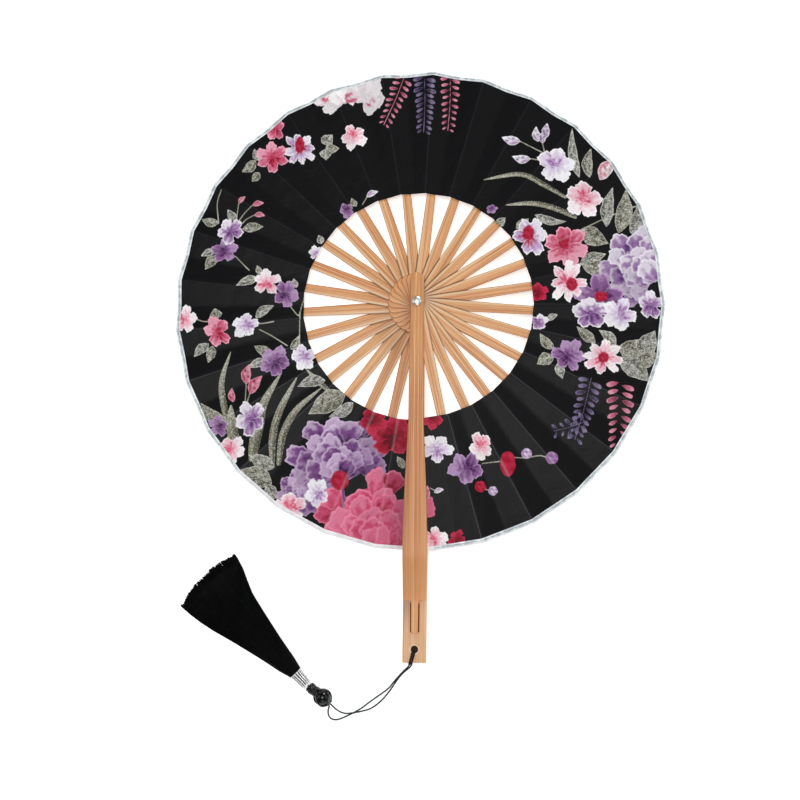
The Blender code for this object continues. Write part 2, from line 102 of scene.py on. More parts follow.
def ripple(x, y, size, seed):  # a smooth uneven pattern from -1 to 1
    chance = np.random.default_rng(seed)
    total = 0.0
    for _ in range(6):
        way, phase = chance.uniform(0.0, math.tau, 2)
        rate = math.tau / size * chance.uniform(0.6, 1.6)
        total = total + np.sin(rate * (x * math.cos(way) + y * math.sin(way)) + phase)
    return total / 4.0


def tone(red, green, blue):  # a screen colour made linear
    return tuple(c / 12.92 if c <= 0.04045 else ((c + 0.055) / 1.055) ** 2.4
                 for c in (red / 255, green / 255, blue / 255))


# Nodes: sums on sockets are written as Python sums, and every node comes from one method

class Wire:
    def __init__(self, owner, socket):
        self.owner = owner
        self.socket = socket

    def maths(self, operation, *others):
        return self.owner.node("ShaderNodeMath", {"operation": operation},
                               dict(enumerate((self, *others))))

    def __add__(self, other):
        return self.maths("ADD", other)

    def __mul__(self, other):
        return self.maths("MULTIPLY", other)

    def __sub__(self, other):
        return self.maths("SUBTRACT", other)

    def __rsub__(self, other):
        return self * -1.0 + other

    __radd__ = __add__
    __rmul__ = __mul__


class NodeMaker:
    def node(self, kind, settings=None, values=None, out=0):
        made = self.tree.nodes.new(kind)
        for key, value in (settings or {}).items():
            setattr(made, key, value)
        for key, value in (values or {}).items():
            if isinstance(value, Wire):
                self.tree.links.new(value.socket, made.inputs[key])
            else:
                made.inputs[key].default_value = value
        return Wire(self, made.outputs[out])

    def vector(self, operation, a, b, out=0):
        return self.node("ShaderNodeVectorMath", {"operation": operation}, {0: a, 1: b}, out)

    def scaled(self, vector, factor):
        return self.node("ShaderNodeVectorMath", {"operation": "SCALE"}, {0: vector, "Scale": factor})

    def part(self, vector, axis):
        return self.node("ShaderNodeSeparateXYZ", None, {0: vector}, axis)

    def joined(self, *parts):
        return self.node("ShaderNodeCombineXYZ", None, dict(enumerate(parts)))


class Finish(NodeMaker):
    def __init__(self, name, colour, roughness, constants):
        self.material = bpy.data.materials.new(name)
        self.material.use_nodes = True
        self.material.diffuse_color = (*colour, 1.0)
        self.tree = self.material.node_tree
        self.shader = self.tree.nodes["Principled BSDF"]
        for key, value in {"Base Color": (*colour, 1.0), "Roughness": roughness, **constants}.items():
            self.feed(key, value)

    def feed(self, name, value):
        if isinstance(value, Wire):
            self.tree.links.new(value.socket, self.shader.inputs[name])
        else:
            self.shader.inputs[name].default_value = value

    def place(self):  # the object's own coordinates in millimetres
        return self.stretch(self.node("ShaderNodeTexCoord", out=3), (1000.0, 1000.0, 1000.0))

    def stretch(self, vector, scale):
        return self.vector("MULTIPLY", vector, scale)

    def attribute(self, name, out=2):
        return self.node("ShaderNodeAttribute", {"attribute_name": name}, out=out)

    def noise(self, vector, scale, detail=2.0, roughness=0.5):
        return self.node("ShaderNodeTexNoise", None, {
            "Vector": vector, "Scale": scale, "Detail": detail, "Roughness": roughness})

    def between(self, value, low, high, least=0.0, most=1.0, kind="SMOOTHSTEP"):
        return self.node("ShaderNodeMapRange", {"interpolation_type": kind}, {
            "Value": value, "From Min": low, "From Max": high, "To Min": least, "To Max": most})

    def ramp(self, value, *ends):
        return self.between(value, *ends, kind="LINEAR")

    def blend(self, share, a, b, kind="MIX"):
        a, b = [c if isinstance(c, Wire) else (*c, 1.0) for c in (a, b)]
        return self.node("ShaderNodeMix", {"data_type": "RGBA", "blend_type": kind},
                         {0: share, 6: a, 7: b}, out=2)

    def layer(self, share, colour, kind="MIX"):  # one more colour over those laid so far
        self.paint = self.blend(share, self.paint, colour, kind)

    def cloudy(self, scale, detail, grain, light, dark):  # the first colours, from one noise
        cloud = self.noise(self.place(), scale, detail, grain)
        self.paint = self.blend(cloud, light, dark)
        return cloud

    def finish(self):
        self.feed("Base Color", self.paint)

    def bump(self, height, strength, distance):
        self.feed("Normal", self.node("ShaderNodeBump", None, {
            "Height": height, "Strength": strength, "Distance": distance * mm}))


class Shaper(NodeMaker):  # a Geometry Nodes tree with named inputs
    def __init__(self, name, **inputs):
        self.tree = bpy.data.node_groups.new(name, "GeometryNodeTree")
        face = self.tree.interface
        face.new_socket("Geometry", in_out="OUTPUT", socket_type="NodeSocketGeometry")
        face.new_socket("Geometry", in_out="INPUT", socket_type="NodeSocketGeometry")
        self.sockets = {}
        for label, value in inputs.items():
            kind = "NodeSocketMaterial" if value is None else "NodeSocketFloat"
            made = face.new_socket(label, in_out="INPUT", socket_type=kind)
            if value is not None:
                made.default_value = value
            self.sockets[label] = made.identifier
        self.inside = self.tree.nodes.new("NodeGroupInput")
        self.outside = self.tree.nodes.new("NodeGroupOutput")

    def given(self, label):
        return Wire(self, self.inside.outputs[label])

    def end(self, geometry):  # every tree ends in Realize Instances and Set Material
        real = self.node("GeometryNodeRealizeInstances", None, {0: geometry})
        done = self.node("GeometryNodeSetMaterial", None, {0: real, "Material": self.given("finish")})
        self.tree.links.new(done.socket, self.outside.inputs[0])

    def shape(self, blank, name, **values):
        modifier = blank.modifiers.new(name, "NODES")
        modifier.node_group = self.tree
        for label, value in values.items():
            modifier[self.sockets[label]] = value
        made = evaluatedMesh(blank)
        blank.modifiers.remove(modifier)
        made.name = name
        made.shade_smooth()
        return made


def evaluatedMesh(piece):
    graph = bpy.context.evaluated_depsgraph_get()
    graph.update()
    return bpy.data.meshes.new_from_object(piece.evaluated_get(graph), depsgraph=graph)


def addObject(name, data):
    made = bpy.data.objects.new(name, data)
    bpy.context.collection.objects.link(made)
    return made


def makeMesh(name, points, faces, finish=None, smoothAngle=None, turn=False):
    # a mesh from millimetre points, with its faces turned outwards where asked
    data = bpy.data.meshes.new(name)
    data.from_pydata((np.asarray(points, float) * mm).tolist(), [], faces)
    if turn:
        body = bmesh.new()
        body.from_mesh(data)
        bmesh.ops.remove_doubles(body, verts=body.verts, dist=0.000001)
        bmesh.ops.recalc_face_normals(body, faces=body.faces)
        body.to_mesh(data)
        body.free()
    data.shade_smooth()
    if smoothAngle is not None:
        data.set_sharp_from_angle(angle=math.radians(smoothAngle))
    if finish is not None:
        data.materials.append(finish.material)
    return data


def putAttribute(data, name, values):  # one number, three or four at each point
    values = np.asarray(values, np.float32)
    kind, key = {1: ("FLOAT", "value"), 3: ("FLOAT_VECTOR", "vector"), 4: ("FLOAT_COLOR", "color")}[
        values.size // len(data.vertices)]
    data.attributes.new(name, kind, "POINT").data.foreach_set(key, values.ravel())


def loftFaces(rings, sides):  # of a closed tube, with a face at each end
    faces = [tuple(reversed(range(sides))), tuple((rings - 1) * sides + side for side in range(sides))]
    for here in range(0, (rings - 1) * sides, sides):
        for side in range(sides):
            after = (side + 1) % sides
            faces.append((here + side, here + after, here + sides + after, here + sides + side))
    return faces


def loft(name, rings, finish, smoothAngle=None):  # a closed tube through rings of points
    return makeMesh(name, np.concatenate(rings), loftFaces(len(rings), len(rings[0])), finish,
                    smoothAngle, turn=True)


def joinMeshes(name, meshes):
    parts = [addObject(f"{name}_{number}", data) for number, data in enumerate(meshes)]
    with bpy.context.temp_override(active_object=parts[0], object=parts[0],
                                   selected_objects=parts, selected_editable_objects=parts):
        bpy.ops.object.join()
    parts[0].name = name
    parts[0].data.name = name
    return parts[0]


def smoothRoute(points, step):  # even points on a smooth curve through the chosen ones
    knots = [Vector(p) for p in points]
    knots = [2 * knots[0] - knots[1], *knots, 2 * knots[-1] - knots[-2]]
    fine = []
    for a, b, c, d in zip(knots, knots[1:], knots[2:], knots[3:]):
        for piece in range(12):
            t = piece / 12
            fine.append(0.5 * (2 * b + (c - a) * t + (2 * a - 5 * b + 4 * c - d) * t ** 2
                               + (3 * b - a - 3 * c + d) * t ** 3))
    fine.append(knots[-2])
    travel = np.concatenate([[0.0], np.cumsum([(b - a).length for a, b in zip(fine, fine[1:])])])
    wanted = np.linspace(0.0, travel[-1], round(travel[-1] / step) + 1)
    table = np.array([list(p) for p in fine])
    return np.stack([np.interp(wanted, travel, table[:, axis]) for axis in range(3)], 1)


def pathObject(name, routes, closed=False):
    data = bpy.data.curves.new(name, "CURVE")
    data.dimensions = "3D"
    for route in routes:
        spline = data.splines.new("POLY")
        spline.points.add(len(route) - 1)
        spline.use_cyclic_u = closed
        for point, place in zip(spline.points, route):
            point.co = (*(Vector(place) * mm), 1.0)
    return addObject(name, data)


# Finishes of the cord and the tassel
cordFinish = Finish("green_black_cord", tone(16, 26, 24), 0.55, {
    "Sheen Weight": 0.05, "Specular IOR Level": 0.3})
fibres = cordFinish.cloudy(3.0, 3.0, 0.6, tone(6, 14, 13), tone(32, 56, 50))
fromHole = cordFinish.vector("DISTANCE", cordFinish.place(), (*hole[:2], 1.6), out=1)
cordFinish.layer(cordFinish.between(fromHole, 21.0, 12.0) * 0.75, tone(3, 7, 7))
# the hitch is darker and browner than the strands
cordFinish.layer(cordFinish.between(fromHole, 8.6, 7.6), tone(14, 5, 3))
cordFinish.finish()
cordFinish.bump(fibres, 0.4, 0.06)

knotFinish = Finish("black_knot", tone(4, 5, 6), 0.20, {"Specular IOR Level": 0.35})
lacquer = knotFinish.cloudy(1.2, 3.0, 0.55, tone(2, 3, 4), tone(11, 13, 14))
knotFinish.feed("Roughness", knotFinish.between(lacquer, 0.3, 0.7, 0.10, 0.26))
knotFinish.finish()
knotFinish.bump(lacquer, 0.25, 0.08)

capFinish = Finish("silver_cap", tone(232, 233, 234), 0.20, {"Metallic": 0.4})
brushed = capFinish.cloudy(2.2, 4.0, 0.6, tone(252, 252, 252), tone(222, 223, 225))
capFinish.layer(capFinish.between(capFinish.attribute("groove"), 0.16, 0.46), tone(18, 18, 18))
capFinish.feed("Roughness", capFinish.between(brushed, 0.3, 0.75, 0.14, 0.34))
capFinish.finish()
capFinish.bump(brushed, 0.12, 0.03)

silkFinish = Finish("black_silk", tone(3, 3, 4), 0.60, {"Specular IOR Level": 0.06})
silkShade = silkFinish.noise(silkFinish.place(), 0.35, 3.0, 0.6)
silkFinish.feed("Base Color", silkFinish.blend(
    silkFinish.between(silkShade, 0.45, 0.75), tone(0, 0, 1), tone(9, 11, 12)))
silkFinish.feed("Roughness", silkFinish.between(silkShade, 0.3, 0.7, 0.50, 0.66))


# The cord: a tree that lays twisted plies along a path
cord = {
    "diameter": 0.80,
    "plies": 3.0,
    "pitch": 2.4,      # length of one full twist
    "step": 0.45,
    # points from the hole: across, along and up
    "upper": [
        (-2.30, -7.00, 1.00), (-2.60, -7.70, 1.05), (-3.45, -8.75, 1.15), (-4.85, -10.0, 1.15),
        (-7.3, -12.6, 1.12), (-9.7, -15.4, 1.00), (-11.9, -18.1, 0.60), (-14.9, -20.5, 0.42),
        (-18.3, -22.9, 0.42), (-21.6, -25.3, 0.42), (-24.6, -27.6, 0.42), (-27.4, -29.3, 0.42),
        (-29.8, -30.6, 0.42), (-32.3, -31.8, 0.42), (-34.6, -32.8, 0.42), (-37.0, -33.4, 0.42),
        (-39.3, -32.9, 0.50), (-40.5, -31.2, 0.95), (-40.6, -28.9, 2.10), (-40.07, -26.55, 3.35),
        # and on through the knot and the cap into the skirt
        (-41.6, -24.6, 4.00), (-45.0, -21.2, 4.30), (-49.9, -17.9, 3.30), (-56.4, -11.7, 3.15),
        (-63.5, -4.6, 3.15),
    ],
    "lower": [
        (-1.46, -7.30, 1.00), (-1.80, -8.10, 0.80), (-3.00, -9.20, 0.45), (-4.50, -10.35, 0.42),
        (-7.0, -12.95, 0.42), (-9.2, -15.95, 0.42), (-10.9, -18.6, 0.42), (-12.3, -20.5, 0.42),
        (-14.3, -22.9, 0.42), (-17.1, -25.6, 0.42), (-20.5, -27.9, 0.50), (-23.5, -28.9, 0.85),
        (-26.1, -29.5, 1.35), (-28.9, -30.0, 1.55), (-31.6, -30.3, 1.40), (-34.1, -30.0, 1.00),
        (-36.4, -28.8, 1.30), (-38.1, -27.3, 2.30), (-39.43, -25.91, 3.35),
    ],
}

cordTree = Shaper("twistedCord", radius=0.0004, pitch=0.0024, plies=3.0, finish=None)
travel = cordTree.node("GeometryNodeSplineParameter", out=1)
twist = (travel * math.tau).maths("DIVIDE", cordTree.given("pitch"))
path = cordTree.node("GeometryNodeSetCurveTilt", None, {0: cordTree.given("Geometry"), "Tilt": twist})
ring = cordTree.node("GeometryNodeCurvePrimitiveCircle", {"mode": "RADIUS"}, {
    "Resolution": 18, "Radius": cordTree.given("radius")})
ringPlace = cordTree.node("GeometryNodeInputPosition")
around = cordTree.part(ringPlace, 1).maths("ARCTAN2", cordTree.part(ringPlace, 0))
lobe = (around * cordTree.given("plies")).maths("COSINE")
ring = cordTree.node("GeometryNodeSetPosition", None, {0: ring, "Position": cordTree.scaled(
    ringPlace, lobe.maths("ABSOLUTE") * 0.10 + lobe * 0.08 + 0.90)})
cordTree.end(cordTree.node("GeometryNodeCurveToMesh", None, {0: path, 1: ring, "Fill Caps": True}))


def layCord(name, routes, radius, pitch, plies, finish, closed=False):
    blank = pathObject(name + "_path", routes, closed)
    data = cordTree.shape(blank, name, radius=radius * mm, pitch=pitch * mm, plies=plies,
                          finish=finish.material)
    bpy.data.objects.remove(blank)
    return data


def makeStrand(name, points):
    route = smoothRoute(points, cord["step"]) + hole
    data = layCord(name, [route], cord["diameter"] / 2, cord["pitch"], cord["plies"], cordFinish)
    return addObject(name, data), route


strands = {name: makeStrand(f"strand_{name}", cord[name]) for name in ("upper", "lower")}

hitch = {"low": 0.70, "high": 3.14, "near": 0.35, "far": 7.277, "corner": 0.8,
         "lean": -0.27, "apart": 0.50, "radius": 0.49}


def makeHitch():  # two cords side by side, through the hole and round the handle's end
    corner = hitch["corner"]
    path = []
    for out, up, start in ((hitch["near"] + corner, hitch["low"] + corner, 180),
                           (hitch["far"] - corner, hitch["low"] + corner, 270),
                           (hitch["far"] - corner, hitch["high"] - corner, 0),
                           (hitch["near"] + corner, hitch["high"] - corner, 90)):
        for turn in range(start, start + 91, 18):
            t = math.radians(turn)
            path.append((out + corner * math.cos(t), up + corner * math.sin(t)))
    way = Vector((hitch["lean"], -1.0, 0.0)).normalized()
    side = Vector((1.0, hitch["lean"], 0.0)).normalized()
    routes = []
    for across in (-hitch["apart"], hitch["apart"]):
        loop = [Vector(hole) + way * out + side * across + Vector((0, 0, up)) for out, up in path]
        fine = []
        for a, b in zip(loop, loop[1:] + loop[:1]):
            pieces = max(1, round((b - a).length / 0.4))
            fine += [a.lerp(b, piece / pieces) for piece in range(pieces)]
        routes.append(fine)
    return addObject("hitch", layCord("hitch", routes, hitch["radius"], cord["pitch"], cord["plies"],
                                      cordFinish, closed=True))


hitchPiece = makeHitch()
print("cord laid")


# The tassel: a glossy knot, a fluted cap and a skirt of silk threads
tassel = {
    "neck": (-56.4, -177.9, 0.0),
    "aim": Vector((-1.0, 1.0, 0.0)).normalized(),
    "side": Vector((1.0, 1.0, 0.0)).normalized(),
    "seatGap": 0.30,
    "rest": 0.05,
    "capLength": 8.2,
    "capWide": 3.1,
    "flutes": 14,
    "knotLength": 12.9,
    "knotRadius": 4.25,
    "knotNeck": 2.5,
    "knotOffset": 1.2,
    "knotDrop": 1.1,
    "skirtLength": 65.0,
    "skirtSag": 3.4,
    "threads": 1150,
    "threadRadius": 0.17,
    "threadWaver": 0.40,
    "windingRadius": 0.66,
    "windingPitch": 9.0,
    "windingPlies": 2.0,
    "capSmoothAngle": 40.0,
    # share of the cap's length, radius and depth of the flutes
    "capForm": [
        (0.0, 2.55, 0.0), (0.0, 2.95, 0.3), (0.035, 3.1, 0.7), (0.075, 3.1, 1.0), (0.10, 3.0, 1.0),
        (0.3, 2.84, 1.0), (0.5, 2.72, 1.0), (0.7, 2.6, 1.0), (0.88, 2.47, 1.0), (0.9, 2.33, 0.0),
        (0.92, 2.33, 0.0), (0.935, 2.45, 0.0), (0.97, 2.45, 0.0), (1.0, 2.3, 0.0), (1.0, 1.6, 0.0),
    ],
    # share of the skirt's length, centre across, half width and height
    "skirtForm": [
        (0.0, 0.0, 3.3, 6.3), (0.10, -0.3, 4.9, 6.3), (0.25, -0.7, 6.6, 5.8), (0.48, -1.4, 9.8, 4.9),
        (0.68, -2.1, 12.8, 3.8), (0.80, -1.4, 15.2, 3.1), (0.92, -0.7, 17.3, 2.4), (1.0, -0.5, 17.9, 1.9),
    ],
}
capFar = -tassel["seatGap"]
capNear = capFar - tassel["capLength"]
knotFar = capNear - tassel["seatGap"]
capHeight = tassel["rest"] + tassel["capWide"]


def tasselPoints(travel, across, up):  # from the tassel's own axes to the fan's
    aim, side = np.array(tassel["aim"]), np.array(tassel["side"])
    return (np.array(tassel["neck"]) + np.multiply.outer(travel, aim)
            + np.multiply.outer(across, side) + np.multiply.outer(up, (0.0, 0.0, 1.0)))


def makeCap():
    sides = tassel["flutes"] * 8
    t = np.linspace(0.0, math.tau, sides, endpoint=False)
    flute = np.abs(np.cos(tassel["flutes"] * t / 2)) ** 0.7
    rings, grooves = [], []
    for share, radius, depth in tassel["capForm"]:
        reach = radius * (1.0 - 0.13 * depth * (1.0 - flute))
        rings.append(tasselPoints(np.full(sides, mix(capFar, capNear, share)),
                                  reach * np.cos(t), capHeight + reach * np.sin(t)))
        grooves.append((1.0 - flute) * depth)
    made = loft("cap", rings, capFinish, tassel["capSmoothAngle"])
    putAttribute(made, "groove", np.concatenate(grooves))
    return made


def knotProfile(share):  # the knot's centre across, height of its axis and radius
    length, full = tassel["knotLength"], tassel["knotRadius"]
    ball = (share * length - (length - full)) / full
    radius = full * math.sqrt(max(1.0 - ball * ball, 0.0))
    radius = max(radius, tassel["knotNeck"] * (1.0 if share < 0.5 else 0.45))
    up = mix(capHeight, tassel["rest"] + full, smoothShare(share, 0.0, 0.6))
    up -= tassel["knotDrop"] * smoothShare(share, 0.8, 1.0)
    return tassel["knotOffset"] * smoothShare(share, 0.0, 0.7) + 0.3, up, radius


def makeKnot():  # a dark core wound with three crossing cords
    sides, rings = 40, []
    t = np.linspace(0.0, math.tau, sides, endpoint=False)
    for share in np.linspace(0.0, 1.0, 30):
        centre, up, radius = knotProfile(share)
        radius = max(radius - 0.62, 0.3)
        rings.append(tasselPoints(np.full(sides, knotFar - share * tassel["knotLength"]),
                                  centre + radius * np.cos(t), up + radius * np.sin(t)))
    core = loft("knot_core", rings, knotFinish)
    routes = []
    for start in range(3):
        route = []
        for piece in range(150):
            whole = piece / 149
            share, turn = 0.04 + 0.32 * whole, math.tau * 6.0 * whole
            if start:
                share = 0.06 + 0.90 * (0.5 - 0.5 * math.cos(whole * math.pi * 5.0))
                turn = math.tau * (2.0 + 0.65 * start) * whole * (1 if start != 1 else -1) + 2.1 * start
            centre, up, radius = knotProfile(share)
            weave = 0.16 * math.sin(whole * math.tau * 7.5 + start * 1.7)
            reach = max(radius - 0.60 + weave, 0.35)
            far, aside = knotFar - share * tassel["knotLength"], centre + reach * math.cos(turn)
            route.append(tasselPoints(far, aside, max(up + reach * math.sin(turn), 0.75)))
        routes.append(route)
    winding = layCord("knot_winding", routes, tassel["windingRadius"], tassel["windingPitch"],
                      tassel["windingPlies"], knotFinish)
    return joinMeshes("knot", [core, winding])


skirtTree = Shaper("silkThreads", radius=0.00015, waver=0.0004, seed=3.0, finish=None)
lines = skirtTree.node("GeometryNodeMeshToCurve", None, {0: skirtTree.given("Geometry")})
share = skirtTree.node("GeometryNodeSplineParameter")
here = skirtTree.node("GeometryNodeInputPosition")
stray = skirtTree.node("ShaderNodeTexNoise", {"noise_dimensions": "4D"}, {
    "Vector": here, "W": skirtTree.given("seed"), "Scale": 160.0, "Detail": 1.0}, out=1)
stray = skirtTree.vector("MULTIPLY", skirtTree.vector("SUBTRACT", stray, (0.5, 0.5, 0.5)), (1.0, 1.0, 0.3))
stray = skirtTree.scaled(stray, share * skirtTree.given("waver") * 2.0)
lines = skirtTree.node("GeometryNodeSetPosition", None, {0: lines, "Offset": stray})
lines = skirtTree.node("GeometryNodeSetCurveRadius", None, {0: lines, "Radius": 1.1 - share * 0.35})
thread = skirtTree.node("GeometryNodeCurvePrimitiveCircle", {"mode": "RADIUS"}, {
    "Resolution": 4, "Radius": skirtTree.given("radius")})
skirtTree.end(skirtTree.node("GeometryNodeCurveToMesh", None, {0: lines, 1: thread, "Fill Caps": True}))


def skirtAt(share):
    shares, *columns = np.array(tassel["skirtForm"]).T
    return [np.interp(share, shares, column) for column in columns]


def makeSkirt():
    sides, rings = 56, []
    t = np.linspace(0.0, math.tau, sides, endpoint=False)
    for share in np.linspace(0.0, 0.955, 26):
        centre, half, height = skirtAt(share)
        groove = 0.93 - 0.03 * np.cos(14 * t)
        rings.append(tasselPoints(
            share * tassel["skirtLength"] - tassel["skirtSag"] * share * np.cos(t) ** 2,
            centre + half * groove * np.cos(t),
            tassel["rest"] + 0.1 + height / 2 * (1.0 + 0.86 * groove * np.sin(t))))
    core = loft("skirt_core", rings, silkFinish)
    chance = np.random.default_rng(11)
    count, steps = tassel["threads"], 11
    turn = chance.uniform(0.0, math.tau, count)
    depth = 1.0 - 0.16 * chance.random(count) ** 2
    lock = 0.012 * np.sin(turn * 9.0) + 0.018 * (chance.random(count) - 0.5)
    points, edges = [], []
    for number in range(count):
        drift = turn[number] + np.linspace(0.0, 1.0, steps) * 0.10 * math.sin(number * 1.7)
        ends = (0.985 + lock[number]) * (1.0 if abs(math.cos(turn[number])) > 0.2 else 0.99)
        share = np.linspace(0.0, 1.0, steps) * ends
        centre, half, height = skirtAt(share)
        reach = depth[number] * (1.0 - 0.03 * math.cos(14 * turn[number]))
        low = tassel["rest"] + tassel["threadRadius"] + 0.1
        line = tasselPoints(
            share * tassel["skirtLength"] - tassel["skirtSag"] * share * np.cos(drift) ** 2,
            centre + (half - 0.25) * reach * np.cos(drift),
            low + (height - 0.55) / 2 * (1.0 + reach * np.sin(drift)))
        first = number * steps
        points.append(line)
        edges += [(first + piece, first + piece + 1) for piece in range(steps - 1)]
    data = bpy.data.meshes.new("skirt_lines")
    data.from_pydata((np.concatenate(points) * mm).tolist(), edges, [])
    blank = addObject("skirt_lines", data)
    threads = skirtTree.shape(blank, "skirt_threads", radius=tassel["threadRadius"] * mm,
                              waver=tassel["threadWaver"] * mm, seed=3.0, finish=silkFinish.material)
    bpy.data.objects.remove(blank)
    return joinMeshes("skirt", [core, threads])


capPiece = addObject("cap", makeCap())
knotPiece = makeKnot()
skirtPiece = makeSkirt()
print("tassel made")


# Bamboo: caramel strips with fine long grain, darker fibres and lighter streaks
def makeBamboo(name, seed, place, depth, bright, deep):
    made = Finish(name, tone(206, 146, 96), 0.46, {"Specular IOR Level": 0.4})
    place = made.attribute(place, out=1) if place else made.place()
    broad = made.noise(made.stretch(place, (0.55, 0.006, 0.3 * depth)), 1.0 + 0.1 * seed, 2.0, 0.5)
    streak = made.noise(made.stretch(place, (2.4, 0.022, depth)), 1.0 + 0.07 * seed, 3.0, 0.6)
    fibre = made.noise(made.stretch(place, (7.5, 0.10, 3.0 * depth)), 1.0, 2.0, 0.6)
    patches = made.noise(made.stretch(place, (0.12, 0.02, 0.1)), 1.0, 1.0, 0.5)
    lines = made.noise(made.stretch(place, (3.4, 0.008, depth)), 1.3, 2.0, 0.6)
    made.paint = made.blend(made.between(broad, 0.36, 0.64), bright, deep)
    for pattern, low, high, share, colour in (
            (streak, 0.50, 0.72, 0.80, tone(164, 98, 54)), (streak, 0.46, 0.26, 0.60, tone(234, 186, 136)),
            (fibre, 0.54, 0.74, 0.40, tone(140, 80, 44)), (patches, 0.40, 0.70, 0.35, tone(206, 124, 78)),
            (lines, 0.52, 0.64, 0.60, tone(156, 90, 44)), (lines, 0.46, 0.35, 0.60, tone(248, 208, 158))):
        made.layer(made.between(pattern, low, high) * share, colour)
    made.feed("Roughness", made.between(streak, 0.25, 0.75, 0.36, 0.54))
    made.bump(fibre * 0.5 + streak, 0.35, 0.06)
    return made, place, broad, streak, lines


def makeRibBamboo():
    made = makeBamboo("rib_bamboo", 2, "grain", 1.0, tone(234, 180, 128), tone(212, 150, 98))[0]
    own = made.attribute("own", out=1)
    aside, along, number = made.part(own, 0), made.part(own, 1) * -1.0, made.part(own, 2)
    across = aside.maths("ABSOLUTE")
    half = made.ramp(along, 0.0, 24.0, 0.30, 0.0) + made.ramp(along, 24.0, 56.5, 2.70, 2.15)
    roundEnd = (along * -1.0 - 11.5).maths("MAXIMUM", 0.0)
    across = (across * across + roundEnd * roundEnd).maths("SQRT")
    # a painted highlight along one long side of each rib
    made.layer(made.between(aside, 0.9, 1.9) * 0.65, tone(232, 204, 166))
    # the round tails are darker, and painted shade darkens the cut edges
    made.layer(made.between(along, 0.0, -10.0) * 0.45, tone(232, 166, 108))
    made.layer(made.between(half - across, 0.42, 0.10) * 0.75, tone(118, 68, 36))
    # the next rib lies on this one from here on, and throws its shade on it, but not on its edge
    covered = made.ramp(along, 0.0, 30.0, 0.0, 6.45) - half
    upperRight = made.between(number, 12.0, 15.0) * made.between(number, 23.5, 21.0)
    beside = made.between(aside * -1.0 - covered, -0.75, -0.1) * made.between(along, 31.0, 28.0)
    beside = beside * made.between(half - across, 0.06, 0.20)
    made.layer(beside * made.between(along, 3.0, 8.0) * (upperRight * 0.45 + 0.42), tone(78, 40, 18))
    made.finish()
    return made


def makeGuardBamboo():
    # the guard climbs, so its grain hardly changes with height
    made, place, broad, streak, lines = makeBamboo(
        "guard_bamboo", 1, None, 0.05, tone(222, 160, 98), tone(196, 130, 74))
    right, up, height = [made.part(place, axis) for axis in range(3)]
    across = right + (broad - 0.5) * 1.6
    made.layer(made.between(across, -0.6, -3.6) * 0.40, tone(160, 96, 66))
    made.layer(made.between(across, 1.6, 4.4) * 0.30, tone(232, 184, 136))
    for middle, colour in ((-0.9, tone(240, 188, 130)), (0.1, tone(166, 100, 62))):
        made.layer(made.between((across - middle).maths("ABSOLUTE"), 0.45, 0.1) * 0.35, colour)
    made.layer(made.between(up, -20.0, -60.0) * 0.22, tone(176, 104, 52))
    made.layer(made.between(up, -90.0, -150.0) * 0.45, tone(238, 172, 114))
    # the rear half of the handle is paler, with painted shade on its left below the front guard's shoulder
    # and a painted highlight on the rounded rim round the cord's hole
    rear = made.between(height, 2.75, 2.65)
    made.layer(rear * 0.70, tone(228, 184, 140))
    made.layer(rear * made.between(streak, 0.50, 0.66) * 0.6, tone(190, 140, 94))
    made.layer(rear * made.between(lines, 0.50, 0.60) * 0.6, tone(188, 134, 86))
    made.layer(rear * made.between(lines, 0.45, 0.36) * 0.5, tone(248, 214, 174))
    left = made.between(right, -1.0, -2.6) * made.between(up, -160.0, -146.0)
    made.layer(rear * left * 0.55, tone(166, 118, 90))
    fromHole = made.vector("DISTANCE", place, (*hole[:2], 2.6), out=1)
    made.layer(rear * made.between(fromHole, 2.6, 2.1) * 0.7, tone(253, 232, 210))
    made.finish()
    return made


guardFinish = makeGuardBamboo()
ribFinish = makeRibBamboo()

guard = {
    "thickness": 2.6,
    "nose": 14.6,
    "noseBevel": 3.2,
    "noseDrop": 1.1,
    # distance from the rivet and half width
    "widths": [(-14.6, 3.3), (0.0, 3.3), (56.5, 3.6), (94.7, 5.4), (114.0, 5.9), (143.0, 5.7), (172.5, 5.7)],
    "rounding": 0.5,
    "allowance": 0.70,
    "allowanceReach": 35.0,
    "crankFrom": 121.0,
    "crankTo": 144.0,
    "shoulder": 143.0,
    "fillet": 1.6,
    "tongueWidth": 3.4,
    "tongueThickness": 1.6,
    "tongueTip": 159.0,
    "clearance": 0.30,
    "slot": (144.4, 158.1, 2.3),
    "end": 172.5,
    "endCorner": 0.35,
    "capSeat": (2.35, 0.67),  # radius and height of the rear cap's seat
    # radius and height of the cord's hole and its rounded rim
    "cordHole": [(1.75, 2.15), (1.82, 2.38), (1.98, 2.54), (2.2, 2.6)],
    "relief": (161.5, 163.5, 1.20),
    "bore": 1.5,
    "step": 2.2,
    "smoothAngle": 38.0,
}


def halfWidth(piece, distance):
    return np.interp(distance, *np.array(piece["widths"]).T)


def guardStations(last):
    nose = halfWidth(guard, 0.0)
    stations = [(nose - guard["nose"] - nose * math.sin(t), nose * math.cos(t))
                for t in np.radians(np.linspace(84.0, 0.0, 15))]
    marks = np.arange(nose - guard["nose"] + 1.0, last, guard["step"])
    return stations + [(d, halfWidth(guard, d)) for d in marks]


def overLeaf(distance):
    share = min(max(distance - fold["boss"], 0.0) / guard["allowanceReach"], 1.0)
    return level(fold["ribs"], distance) + guard["allowance"] * share


def frontFloor(distance):
    if distance <= guard["crankFrom"]:
        return overLeaf(distance)
    seat = guard["thickness"] + guard["clearance"]
    share = smoothShare(distance, guard["crankFrom"], guard["crankTo"])
    return mix(overLeaf(guard["crankFrom"]), seat, share)


